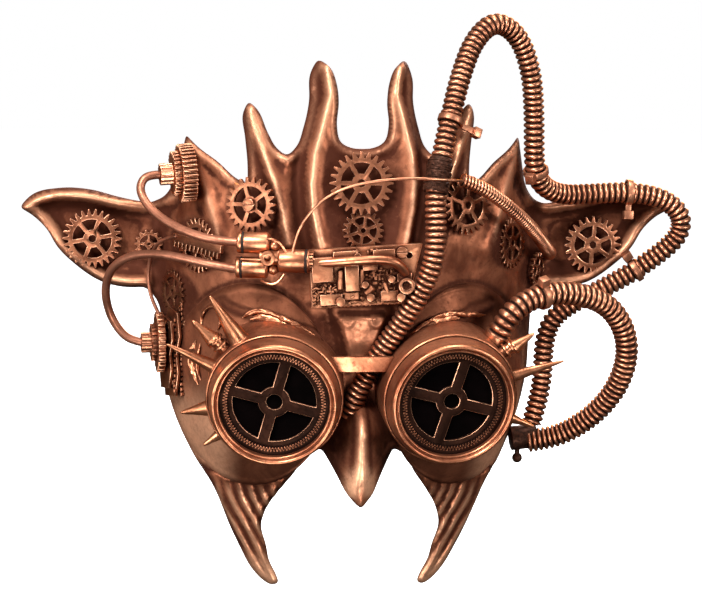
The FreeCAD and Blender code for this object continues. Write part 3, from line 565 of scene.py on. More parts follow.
def sculpt(x, z, edge):
    """Front relief of the shell in mm, deeper is positive; edge is the distance to the outline."""
    side = np.abs(x)
    relief = 2.2 * (1 - np.sqrt(1 - (1 - np.minimum(edge / 2.6, 1)) ** 2 * 0.98))
    off_beak = 1 - ramp(16 - side, 0, 8) * ramp(-z, 5, 20)
    relief += off_beak * (-0.6 * bell(edge - 2.3, 1.5) + 0.35 * bell(edge - 5.0, 1.5))
    ear = ramp(side, 80, 92)
    relief += ear * (-1.1 * bell(edge - 3.2, 1.9) + 2.6 * ramp(edge, 4.2, 11) + 0.7 * bell(edge - 6.2, 1.1))
    horn = ramp(z, 52, 64)
    centre = line_distance(side, z, CENTRE_RIDGE)
    relief += horn * (2.0 * bell(centre - 4.2, 1.8) - 0.8 * bell(centre, 1.0) - 0.8 * bell(centre - 9, 3))
    relief += ramp(z, 66, 84) * 1.6 * bell(side, 9)
    second = line_distance(side, z, SECOND_RIDGE)
    relief += horn * (1.3 * bell(second - 3.6, 1.7) - 0.7 * bell(second, 1.0) + 0.9 * bell(second + 4.5, 2.0))
    temple = line_distance(side, z, TEMPLE_RIDGE)
    creases = 0.7 * bell(temple - 4, 2) + 0.5 * bell(temple + 4, 2) - 0.7 * bell(temple, 1.1)
    relief += ramp(z, 60, 70) * creases
    on_fang = ramp(-z, 32, 40) * ramp(side, 22, 30) * (1 - 0.7 * ramp(-z, 72, 84))
    relief += on_fang * 0.48 * fang_ribs(side, z)
    seam = fang_seam(x, z)
    fold = 1.5 * bell(seam, 0.9) - 0.8 * bell(seam - 2.6, 1.2) - 0.7 * bell(seam + 2.2, 1.2)
    relief += ramp(side, 28, 36) * fold
    fork = line_distance(side, z, BEAK_FORK)
    beak = 0.9 * bell(fork - 4.8, 2.0) - 0.9 * bell(fork, 2.4) + 0.5 * bell(side - 11, 1.8)
    relief += ramp(-z, 2, 10) * beak
    relief -= 2.2 * ramp(block_side(side, z, 4.2), 0, 1.8) * ramp(z, 13, 18) * ramp(37 - z, 0, 2.0)
    curl = np.hypot(side - 6.0, z - 34.5)
    relief -= 1.3 * bell(curl - 2.2, 0.9) * ramp(x, -20, 20)
    relief += 0.8 * bell(line_distance(side, z, [(13.5, 40), (11.5, 30), (8.5, 18)]), 1.6)
    relief += 0.6 * bell(line_distance(side, z, [(76, 20), (70, -6), (60, -24)]), 1.6)
    rough = 0.55 * lumps(x, z, 17.0, 3) + 0.16 * lumps(x, z, 4.0, 11) + 0.05 * lumps(x, z, 1.6, 7)
    return np.minimum(relief + ramp(edge, 0, 3) * rough, WALL - 1.0)


def hollows(count, edges, depth, rounds, reach):
    """How deep each point lies under its surroundings, as 0..1."""
    first, second = edges[:, 0], edges[:, 1]
    share = np.maximum(np.bincount(first, minlength=count) + np.bincount(second, minlength=count), 1)
    level = depth.copy()
    for _ in range(rounds):
        around = np.bincount(first, level[second], count) + np.bincount(second, level[first], count)
        level = 0.5 * level + 0.5 * around / share
    return np.clip((depth - level) / reach, -1, 1)


def worn_corners(loop, rounds):
    """The same closed outline with its sharp tips worn round."""
    ring = np.array(loop)
    for _ in range(rounds):
        ring = 0.5 * ring + 0.25 * (np.roll(ring, 1, axis=0) + np.roll(ring, -1, axis=0))
    return [tuple(p) for p in ring]


# gears glued on the shell: across, up and radius in mm
GEAR_SPOTS = [(-109, 61, 12.6), (-85, 59, 6.0), (106, 58.5, 12.4), (-1, 91, 13.0), (0, 71.8, 8.4),
              (43, 81, 12.2), (66.5, 62.5, 11.0), (80, 48, 7.5), (-65.5, 61.5, 11.5), (-73, 24, 7.2),
              (-75, 39.5, 9.8), (-43.2, 81, 11.5)]


def plate_reach(x, z):
    """0 at the middle of an eye plate, 1 on its oval edge, growing with the square of the distance."""
    return ((np.abs(x) - PLATE_X) / PLATE_WIDE) ** 2 + ((z - PLATE_Z) / PLATE_TALL) ** 2


def tarnish_and_painted_shade(x, z, edge):
    """Where the shell is painted dark, 0..1: tarnish, dark seams and joints, and painted shade round the
    gears, under the circuit board, in the grooves beside the horn ridges, along the step beside the raised
    middle and where the ear meets the face.
    """
    side = np.abs(x)
    cloud = 0.88 + 0.3 * lumps(x, z, 9.0, 61)
    horn = ramp(z, 52, 64)
    ear = ramp(side, 82, 90)
    centre = line_distance(side, z, CENTRE_RIDGE)
    second = line_distance(side, z, SECOND_RIDGE)
    panel = np.interp(z, (50, 64, 80, 91, 103, 114), (13.5, 15.5, 18.5, 19.3, 18, 15))
    plate_edge = PLATE_WIDE * (np.sqrt(plate_reach(x, z)) - 1.02)
    beside_block = ramp(-block_side(side, z, 6.4), 0, 2) * ramp(26 - side, 0, 6)
    below_brow = ramp(z, 34, 44) * ramp(72 - z, 0, 14) * ramp(76 - side, 0, 12)
    beak_flank = ramp(-z, -4, 4) * ramp(side, 3.5, 7) * ramp(z, -34, -22) * ramp(22 - side, 0, 8)
    fang_grooves = np.clip(fang_ribs(side, z), 0, 1) * (1 - ramp(-z, 70, 80))
    # painted shadow round and under each gear
    tarnish_and_shadow_marks = [0.9 * ramp(radius + 2.2 - np.hypot(x - across, z - up), 0, 3.5)
              for across, up, radius in GEAR_SPOTS]
    tarnish_and_shadow_marks += [
        1.12 * cloud * ramp(z, 48, 58) * ramp(panel - side, 0, 4) * ramp(118 - z, 0, 18),
        # painted shade in the grooves beside the horn ridges
        0.85 * horn * np.maximum(bell(centre - 4.0, 1.6), bell(second - 3.8, 1.5)),
        # painted shade along the step beside the raised middle, mottled
        1.05 * cloud * ramp(z, 44, 54) * bell(side - 26, 8) * ramp(106 - z, 0, 30),
        0.45 * cloud * below_brow,
        0.95 * bell(plate_edge, 1.3) * ramp(z, -12, 4),
        ear * (0.72 * cloud * ramp(edge, 5.5, 9) + 0.8 * bell(edge - 6.0, 1.2)),
        # painted shade where the ear meets the face
        0.75 * bell(side - 80, 5) * ramp(z, 40, 50) * ramp(edge, 3, 7),
        # painted shadow under the circuit board
        0.95 * bell(z - 40.5, 1.8) * ramp(25 - side, 0, 3),
        0.85 * cloud * beak_flank,
        0.9 * beside_block * ramp(z, 12, 17) * ramp(40 - z, 0, 5),
        bell(side - 3.7 + 0.05 * (z + 20), 1.5) * ramp(-z, -8, 0) * ramp(z, -35, -27),
        0.95 * ramp(-z, 37, 41) * ramp(side, 22, 28) * fang_grooves,
        0.85 * ramp(side, 28, 36) * bell(fang_seam(x, z), 1.1),
    ]
    return np.max(tarnish_and_shadow_marks, axis=0)


def painted_highlights_and_wear(x, z, edge):
    """Where the shell is painted bright, 0..1: painted highlights along the ridges, rims, beak and fang ribs,
    a painted reflection on the upper rim lips, painted light on the cheeks, and bright wear on the same
    ridges.
    """
    side = np.abs(x)
    horn = ramp(z, 56, 66)
    fork = line_distance(side, z, BEAK_FORK) + 0.5 * lumps(x, z, 5.0, 71)
    return np.max([
        # painted highlights along the horn ridges, with bright wear
        horn * bell(line_distance(side, z, CENTRE_RIDGE), 1.15),
        0.85 * horn * bell(line_distance(side, z, SECOND_RIDGE), 1.0),
        0.5 * ramp(z, 60, 70) * bell(line_distance(side, z, TEMPLE_RIDGE), 1.2),
        # painted highlights on the ear rims and a painted reflection on the upper rim lips
        0.6 * ramp(side, 80, 90) * bell(edge - 3.0, 1.5),
        0.35 * bell(edge - 1.8, 1.2) * ramp(z, 50, 60),
        # painted highlight down the beak's crest and fork
        0.95 * ramp(-z, 2, 12) * bell(fork, 1.5 + 2.6 * bell(z + 32, 7)),
        0.8 * ramp(-z, 66, 80) * ramp(side, 20, 26),
        # painted light on the cheeks
        0.62 * ramp(side, 48, 60) * ramp(-z, -34, -14) * ramp(z, -36, -30),
        0.75 * ramp(-z, 38, 46) * np.clip(-fang_ribs(side, z), 0, 1),
        0.12 * ramp(block_side(side, z, 4.6), 0, 2.2) * ramp(z, 13, 18) * ramp(38 - z, 0, 3),
    ], axis=0)


def nearest(spots, ring):
    """Distance from each point to the nearest point of a ring, a few thousand at a time."""
    gaps = [np.min(np.hypot(part[:, :1] - ring[:, 0], part[:, 1:] - ring[:, 1]), axis=1)
            for part in (spots[start:start + 4000] for start in range(0, len(spots), 4000))]
    return np.concatenate(gaps)


def make_shell():
    """The moulded shell: a fine skin over the whole outline, with goggle holes, 3 mm thick."""
    half = [point for run in RIGHT_OUTLINE for point in smooth_run(run, SHELL_STEP)]
    outline = [tuple(p) for p in half] + [(0.0, 104.8)] + [(-p[0], p[1]) for p in half[:0:-1]]
    outline = worn_corners(outline, 3)
    holes = [goggle_loop(side, HOLE_RADIUS, face_depth, 150) for _, side in SIDES]
    loops = [outline] + [[tuple(p) for p in hole] for hole in holes]
    points, edges = [], []
    for loop in loops:
        start, count = len(points), len(loop)
        points += loop
        edges += [(start + k, start + (k + 1) % count) for k in range(count)]
    half_width, bottom, height = 142, -90, 236
    row_step = SHELL_STEP * 0.866
    grid = []
    for row in range(int(height / row_step)):
        xs = np.arange(-half_width, half_width, SHELL_STEP) + (row % 2) * SHELL_STEP / 2
        grid.append(np.stack([xs, np.full(len(xs), bottom + row * row_step)], axis=1))
    grid = np.concatenate(grid)
    keep = (nearest(grid, np.array(points)) > 0.55 * SHELL_STEP) & in_outline(grid, loops)
    points += [tuple(p) for p in grid[keep]]
    flat, _, faces, _, _, _ = delaunay_2d_cdt([Vector(p) for p in points], edges, [], 1, 1e-6)
    flat = np.array([p[:] for p in flat])
    faces = np.array([f for f in faces if len(f) == 3])
    faces = faces[in_outline(flat[faces].mean(axis=1), loops)]
    x, z = flat[:, 0], flat[:, 1]
    edge = nearest(flat, np.array(outline))
    front = face_depth(x, z) + sculpt(x, z, edge)
    back = face_depth(x, z) + WALL
    count = len(flat)
    corner = flat[faces]
    area = np.cross(corner[:, 1] - corner[:, 0], corner[:, 2] - corner[:, 0])
    faces = np.where((area > 0)[:, None], faces, faces[:, ::-1])
    skin = [tuple(f) for f in faces] + [tuple(f[::-1] + count) for f in faces]
    directed = np.concatenate([faces[:, [0, 1]], faces[:, [1, 2]], faces[:, [2, 0]]])
    pairs = np.unique(np.sort(directed, axis=1), axis=0)
    # painted shade: darker where the face lies below its surroundings; joined below with the tarnish and
    # painted shade of the face
    hollow = np.maximum(hollows(count, pairs, front, 14, 0.28), 0.8 * hollows(count, pairs, front, 70, 1.3))
    known = {(a, b) for a, b in directed.tolist()}
    skin += [(b, a, a + count, b + count) for a, b in directed.tolist() if (b, a) not in known]
    verts = np.concatenate([np.stack([x, front, z], axis=1), np.stack([x, back, z], axis=1)]) * MM
    hollow = np.clip(np.maximum(1.15 * hollow, tarnish_and_painted_shade(x, z, edge)), 0, 1)
    hollow = np.concatenate([hollow, np.full(count, 0.3)])
    piece = make_piece("moulded_shell", verts, skin, "moulded_copper", replaces=["face_shell"], hollow=hollow)
    paint(piece, "crest", np.concatenate([painted_highlights_and_wear(x, z, edge), np.zeros(count)]))


def in_outline(spots, loops):
    """Which points lie inside the first loop and outside the others, by counting crossings."""
    inside = np.zeros(len(spots), dtype=bool)
    for loop in loops:
        ring = np.array(loop)
        after = np.roll(ring, -1, axis=0)
        for (x0, z0), (x1, z1) in zip(ring, after):
            if z0 == z1:
                continue
            crosses = (z0 > spots[:, 1]) != (z1 > spots[:, 1])
            inside ^= crosses & (spots[:, 0] < x0 + (spots[:, 1] - z0) / (z1 - z0) * (x1 - x0))
    return inside


def plate_depth(x, z):
    return face_depth(x, z) - 1.2 - 9 * np.maximum(0, 1 - plate_reach(x, z))


def make_eye_plate(name, side):
    """A thin oval plate, swelling towards the goggle that stands in it, with crumpled edges."""
    steps, rings = 240, 26
    inner = goggle_loop(side, HOLE_RADIUS, plate_depth, steps)
    centre = inner.mean(axis=0)
    start = np.arctan2(inner[:, 1] - centre[1], inner[:, 0] - centre[0])
    outer = (side * PLATE_X, PLATE_Z) + (PLATE_WIDE, PLATE_TALL) * np.stack([np.cos(start), np.sin(start)], 1)
    front, back, hollow = [], [], []
    for ring in range(rings + 1):
        spots = inner * (1 - ring / rings) + outer * (ring / rings)
        x, z = spots[:, 0], spots[:, 1]
        gap = np.linalg.norm(outer - spots, axis=1)
        ragged = lumps(x, z, 5.0, 23)
        fold = line_distance(np.abs(x), z, [(56, 38), (44, 34.5), (30, 30.5), (17, 26)])
        crumple = 0.9 * bell(fold - 2.4 + ragged, 1.2) - 1.3 * bell(fold + 1.4 * ragged, 1.3)
        crumple *= ramp(z, 12, 24)
        lift = 1.6 * (1 - np.sqrt(1 - (1 - np.minimum(gap / 1.8, 1)) ** 2 * 0.98))
        y = plate_depth(x, z) + crumple + lift + 0.22 * lumps(x, z, 9.0, 5) + 0.05 * ragged
        y -= 0.5 * bell(gap - 2.0, 1.2)
        front.append(np.stack([x, y, z], axis=1))
        back.append(np.stack([x, plate_depth(x, z) + 1.8, z], axis=1))
        # painted shade in the creases of the crumple and painted shadow under the fold
        under = 0.95 * ramp(z, 14, 26) * bell(fold + 1.2 * ragged, 1.7)
        hollow.append(np.clip(np.maximum(crumple * 0.9, under) + 0.5 * bell(gap, 1.0), 0, 1))
    verts = np.concatenate(front + back) * MM
    layer = (rings + 1) * steps
    faces = []
    for step in range(steps):
        after = (step + 1) % steps
        for ring in range(rings):
            a, b = ring * steps + step, ring * steps + after
            c, d = b + steps, a + steps
            faces += [(a, d, c, b), (layer + a, layer + b, layer + c, layer + d)]
        faces.append((step, after, layer + after, layer + step))
        a, b = rings * steps + step, rings * steps + after
        faces.append((b, a, layer + a, layer + b))
    piece = make_piece(f"{name}_brow_plate", verts, faces, "moulded_copper", replaces=[f"{name}_eye_plate"],
                       hollow=np.concatenate(hollow + [np.full(layer, 0.2)]))
    piece.data.materials[0] = MATERIALS["plate_finish"]
    x, z = verts[:, 0] / MM, verts[:, 2] / MM
    # painted light on the plate's lower outer part, beside the cheeks
    paint(piece, "crest", 0.5 * ramp(-z, -8, 14) * ramp(np.abs(x), 46, 58))
    fix_normals(piece)


def fix_normals(piece):
    """Turn all faces outward."""
    work = bmesh.new()
    work.from_mesh(piece.data)
    bmesh.ops.recalc_face_normals(work, faces=work.faces)
    work.to_mesh(piece.data)
    work.free()


def turned_piece(name, profile, matrix, slot, body="root", replaces=(), darkness=None):
    """A turned part; the last argument gives how dark each (radius, height) of its profile is, 0..1."""
    verts, faces = lathe(profile, 128)
    hollow = [darkness(math.hypot(x, y), z) for x, y, z in verts] if darkness else None
    piece = make_piece(name, placed(verts, matrix), faces, slot, body, replaces=replaces, hollow=hollow)
    fix_normals(piece)
    piece.data.set_sharp_from_angle(angle=math.radians(40))


def make_goggle(name, side):
    """One goggle: the cup, the screw rim, the lens, the spoked wheel and the knurled ring."""
    matrix = goggle_matrix(side)
    stack = f"{name}_lens_stack"
    cup = [(26.9, -6.6), (27.4, -6.6), (27.8, -6.3), (28.3, -6.7), (28.35, -7.3), (28.0, -8.1), (28.3, -9.2),
           (28.3, -38.5), (26.9, -38.5)]
    # the cup's wall behind the rim is coloured darker
    turned_piece(f"{name}_cup", rounded(cup, [0.1, 0.2, 0.3, 0.4, 0.4, 0.6, 0.5, 0.3, 0.3]), matrix,
                 "goggle_copper", replaces=[f"{name}_goggle_cup"],
                 darkness=lambda radius, height: 0.55 if height < -7.6 else 0.0)
    bezel = [(22.7, -2.5), (22.7, -0.3), (23.25, 0.15), (23.75, -0.35), (24.2, 0.7), (24.9, 1.2), (25.7, 0.9),
             (26.25, -0.1), (26.35, -1.2), (27.3, -6.2), (27.3, -6.5), (23.6, -6.5), (23.6, -2.5)]
    corners = [0.2, 0.4, 0.4, 0.3, 0.6, 0.7, 0.7, 0.6, 0.4, 0.2, 0.1, 0.2, 0.2]
    # the rim's outer band is coloured darker
    turned_piece(f"{name}_bezel_ring", rounded(bezel, corners), matrix, "goggle_copper", f"{name}_bezel",
                 [f"{name}_goggle_bezel"],
                 darkness=lambda radius, height: 0.5 if -6.3 < height < -1.0 and radius > 26 else 0.0)
    glass = [(0.02, -5.65), (21.5, -5.65), (23.55, -5.9), (23.55, -7.65), (0.02, -7.65)]
    turned_piece(f"{name}_glass", rounded(glass, [0, 2.0, 0.3, 0.3, 0]), matrix, "black_lens", stack,
                 [f"{name}_lens"])
    dress(f"{name}_knurled_ring", "dark_bronze", stack, 0.12)
    dress(f"{name}_spoked_wheel", "dark_bronze", stack, 0.16, worn=True)
    bright_teeth(name, matrix)


def bright_teeth(name, matrix):
    """The polished zigzag edge of the knurled ring."""
    teeth = 100
    inner = []
    for tooth in range(teeth):
        for share, radius in ((0.0, 20.75), (0.15, 20.75), (0.5, 19.3), (0.65, 19.3)):
            inner.append((2 * math.pi * (tooth + share) / teeth, radius))
    count = len(inner)
    verts = []
    for height in (-2.75, -2.3):
        for grow in (0.0, 0.42):
            verts += [((r + grow) * math.cos(a), (r + grow) * math.sin(a), height) for a, r in inner]
    low_in, low_out, top_in, top_out = 0, count, 2 * count, 3 * count
    faces = []
    for k in range(count):
        n = (k + 1) % count
        faces += [(top_in + k, top_out + k, top_out + n, top_in + n),
                  (low_in + k, low_in + n, low_out + n, low_out + k),
                  (low_in + k, top_in + k, top_in + n, low_in + n),
                  (low_out + k, low_out + n, top_out + n, top_out + k)]
    verts = placed(verts, matrix)
    fix_normals(make_piece(f"{name}_tooth_edge", verts, faces, "gear_copper", f"{name}_lens_stack", False))


# angle round the cup, start, tip, base radius and height of each spike; the same for the collars
SPIKES = {"left": [(122, 27, 50.4, 4.6, -12.5), (136.5, 34.5, 46.8, 3.4, -12), (154, 27, 49.5, 3.1, -12),
                   (191.5, 27, 39.8, 3.6, -11), (217, 27, 37, 2.8, -11)],
          "right": [(36.3, 33.5, 44.2, 3.2, -13), (16.2, 27, 50.8, 2.9, -11.5),
                    (-21.4, 27, 41.1, 2.7, -11.5)]}
COLLARS = {"left": (136, 27, 35, 3.7, -12), "right": (38, 27, 34, 3.4, -13)}


def merged(name, shapes, slot, body="root", replaces=()):
    """One piece out of several (verts, faces) shapes."""
    verts, faces = [], []
    for shape_verts, shape_faces in shapes:
        start = len(verts)
        verts += list(shape_verts)
        faces += [tuple(start + k for k in face) for face in shape_faces]
    piece = make_piece(name, verts, faces, slot, body, replaces=replaces)
    fix_normals(piece)
    piece.data.set_sharp_from_angle(angle=math.radians(38))
    return piece


def turned_spoke(goggle, angle, height, profile, corners):
    """A turned shape whose axis stands out sideways from the goggle's axis."""
    axis = Matrix.Rotation(math.radians(angle), 4, "Z") @ Matrix.Translation((0, 0, height * MM))
    axis = axis @ Matrix.Rotation(math.radians(90), 4, "Y")
    verts, faces = lathe(rounded(profile, corners), 32)
    return placed(verts, goggle @ axis), faces


def make_spikes(name, side):
    """The cone spikes round a cup, and the ringed collar under one of them."""
    goggle = goggle_matrix(side)
    shapes = []
    for angle, base, tip, radius, height in SPIKES[name]:
        length = tip - base
        profile = [(0.01, base), (radius * 1.02, base), (radius * 1.04, base + 0.9),
                   (radius * 0.92, base + 1.3), (radius * 0.78, base + 0.26 * length),
                   (radius * 0.5, base + 0.54 * length), (radius * 0.18 + 0.3, base + 0.86 * length),
                   (0.42, tip - 0.4), (0.01, tip)]
        shapes.append(turned_spoke(goggle, angle, height, profile, [0, 0.2, 0.3, 0.3, 1, 1, 1, 0.3, 0.0]))
    angle, start, end, radius, height = COLLARS[name]
    post = 0.72 * radius
    profile = [(0.01, start), (post, start), (post, end - 4.4), (radius, end - 4.2), (radius, end - 3.4),
               (post, end - 3.1), (post, end - 1.7), (radius, end - 1.5), (radius, end - 0.6),
               (post, end - 0.4), (0.01, end)]
    corners = [0, 0.1, 0.1, 0.2, 0.2, 0.1, 0.1, 0.2, 0.2, 0.1, 0]
    shapes.append(turned_spoke(goggle, angle, height, profile, corners))
    merged(f"{name}_spikes", shapes, "spike_copper", replaces=[f"{name}_goggle_spikes"])


# ---------------------------------------------------------------- hoses, tubes and wires
MAIN_HOSE = [(-7, -36, -17), (-5, -42, -9), (-1.5, -45.6, 3.5), (5.7, -47.9, 18), (14.8, -50.5, 32),
             (23.7, -53.5, 47), (29, -55, 60), (29.4, -54, 73.5), (29, -52.5, 87), (32, -48, 103),
             (35.8, -43.5, 117.5), (40.2, -37, 133.5), (46.8, -29, 149), (56.8, -22, 157.2),
             (67.8, -17, 150.6), (73.8, -14.5, 135), (75.6, -12, 118.6), (76, -11.5, 104.5),
             (76.6, -10, 94.4), (80.2, -6, 86.2), (89.7, 0, 81.4), (103.3, 3.5, 81.6), (120.2, 5, 82.5),
             (135.3, 6, 79.9), (144, 7, 72.6), (143.6, 8, 63.2), (133.8, 8.5, 54.2), (120.9, 8.5, 45.7),
             (108.1, 8, 38.9), (96.5, 7, 33.6), (88, 6, 26.9), (84.8, 5.5, 16.8), (84.6, 5, 4.5),
             (82.9, 4, -7.4), (79.4, 2, -18)]
SIDE_HOSE = [(56.5, -43, 26), (60.8, -45, 35), (67.9, -42.5, 41.3), (79.2, -37, 44.4), (92.6, -31, 43.4),
             (105.8, -25, 38.6), (114.4, -21, 28.5), (117.4, -18, 15.8), (114.6, -14, 2), (106.8, -10, -10.2),
             (95.6, -6, -19.4), (85.5, -3.5, -23.5), (77, -2.5, -24.7)]
CONDUIT = [(40.4, -49, 93), (48.3, -46.5, 90), (57.6, -40.5, 84), (67.7, -31, 75.8), (76.5, -18, 67.4),
           (83.5, -4, 59.2), (87, 8, 55.5), (88, 14.5, 54.5)]
UPPER_TUBE = [(-51, -48.5, 67), (-60.3, -46, 67.4), (-69.8, -39.5, 69.2), (-79.2, -31, 72.8),
              (-86.8, -23.5, 78.2), (-90.6, -19, 84.6), (-89.4, -17.8, 89.6), (-85.5, -17, 91.4),
              (-80.5, -16.4, 91.4)]
LOWER_TUBE = [(-51, -48.5, 55.8), (-60.7, -46, 57), (-72.5, -38, 59), (-84.4, -28, 59.9), (-95.2, -18, 57.4),
              (-102.4, -9, 50.8), (-104.5, -2, 40.6), (-102.3, 2.5, 30.2), (-97.8, 2.4, 22.6),
              (-93, 1.2, 18.8), (-87.5, 0.6, 18)]
KNOB_CABLE = [(-75.6, -25, 66.6), (-81.6, -14, 64.2), (-85.6, -5, 55.8), (-86.3, -1, 44.6), (-84, -2, 35),
              (-79.5, -2, 27)]
CROWN_WIRE = [(-29.9, -54.5, 61.8), (-28.6, -57, 70.7), (-24, -58, 79.3), (-16.9, -59, 86.7), (-7, -60, 91.5),
              (5.3, -60.5, 93.9), (18.3, -60, 94.7), (29.9, -58.5, 94.1), (41.6, -50.2, 92.6)]
OUTLET_PIPE = [(-20, -55.5, 59.2), (-12, -58, 60.1), (-2, -59.4, 61), (7.5, -59.4, 61.4), (14, -58.4, 59.6),
               (17, -55.5, 55)]


def ribbed_hose(name, route, diameter, pitches, depth, node):
    """A corrugated hose: round ribs and narrow grooves with painted shade; pitches are (share of length,
    pitch in mm).
    """
    line, spots = even(nurbs_line(route), 0.22 * MM)
    share = spots / spots[-1]
    pitch = np.interp(share, [p[0] for p in pitches], [p[1] for p in pitches]) * MM
    phase = np.concatenate([[0], np.cumsum(np.diff(spots) / pitch[1:])])
    wave = np.abs(np.sin(math.pi * phase)) ** 0.8
    radii = (diameter / 2 - depth * (1 - wave)) * MM
    radii[:3] = radii[-3:] = (diameter / 2 - depth) * MM
    verts, faces = tube(line, radii, 26)
    # painted shade in the grooves between the ribs
    hollow = np.repeat(np.clip(2.0 - wave * 2.3, 0, 1), 26)
    piece = make_piece(name, verts, faces, "hose_copper", replaces=[node], hollow=hollow)


def smooth_tube(name, route, diameter, slot, node, wobble=0.0):
    line, spots = even(nurbs_line(route), 0.6 * MM)
    swell = 1 + wobble * np.sin(spots * 900) * np.sin(spots * 370 + 1)
    verts, faces = tube(line, diameter / 2 * MM * swell, 18)
    piece = make_piece(name, verts, faces, slot, replaces=[node])


def spring_conduit():
    """A close-wound spring round a cable: the ridge runs round as a helix."""
    line, spots = even(nurbs_line(CONDUIT), 0.14 * MM)
    around = 28
    turn = np.linspace(0, 2 * math.pi, around, endpoint=False)
    phase = spots[:, None] / (1.6 * MM) * math.pi - turn[None, :] / 2
    wave = np.abs(np.sin(phase)) ** 0.8
    radius = (2.9 - 0.9 * (1 - wave)) * MM
    radius[:2] = radius[-2:] = 1.9 * MM
    verts, faces = tube(line, radius, around)
    # painted shade between the coils, carried by the hollow attribute
    piece = make_piece("spring_sleeve", verts, faces, "copper_wire", replaces=["spring_conduit"],
                       hollow=np.clip(1.7 - wave * 2.2, 0, 1).reshape(-1))


# ---------------------------------------------------------------- small detail
def box_shape(matrix, low, high, chamfer=0.12):
    """A box with chamfered top edges, in mm of a local frame."""
    (x0, y0, z0), (x1, y1, z1) = low, high
    c = min(chamfer, 0.3 * (x1 - x0), 0.3 * (y1 - y0), 0.5 * (z1 - z0))
    verts = [(x0, y0, z0), (x1, y0, z0), (x1, y1, z0), (x0, y1, z0),
             (x0, y0, z1 - c), (x1, y0, z1 - c), (x1, y1, z1 - c), (x0, y1, z1 - c),
             (x0 + c, y0 + c, z1), (x1 - c, y0 + c, z1), (x1 - c, y1 - c, z1), (x0 + c, y1 - c, z1)]
    faces = [(3, 2, 1, 0), (8, 9, 10, 11)]
    for low_ring, high_ring in ((0, 4), (4, 8)):
        for k in range(4):
            n = (k + 1) % 4
            faces.append((low_ring + k, low_ring + n, high_ring + n, high_ring + k))
    return placed(verts, matrix), faces


def board_matrix():
    return axes_frame((1.5 * MM, -50.2 * MM, 53.8 * MM), (0, -1, 0), (0.998, 0, 0.06))


def rod_shape(matrix, start, end, radius, ends=0.25):
    """A round rod with rounded ends between two points, in mm of a local frame."""
    start, end = Vector(start), Vector(end)
    length = (end - start).length
    profile = rounded([(0.01, 0), (radius, 0), (radius, length), (0.01, length)], [0, ends, ends, 0])
    verts, faces = lathe(profile, 20)
    return placed(verts, matrix @ axes_frame(start * MM, end - start, (0.3, 0.9, 0.2))), faces


def wire_shape(spots, radius, matrix=Matrix.Identity(4)):
    """A thin bent wire through points in mm."""
    line, _ = even(nurbs_line(spots), 0.3 * MM)
    verts, faces = tube(line / MM, np.full(len(line), radius), 8)
    return placed(verts, matrix), faces


BOARD_TOP = 3.5
# areas crowded with small parts: low and high corner in mm of the board, and how many parts
BOARD_CROWDS = [((-23.0, -10.4), (-12.5, -2.2), 88), ((-2.0, -1.6), (12.0, 3.0), 46),
                ((0.2, -10.6), (12.5, -2.6), 40), ((-12.5, -10.8), (-1.5, -6.5), 14),
                ((-6.5, 5.0), (9.0, 11.0), 24)]


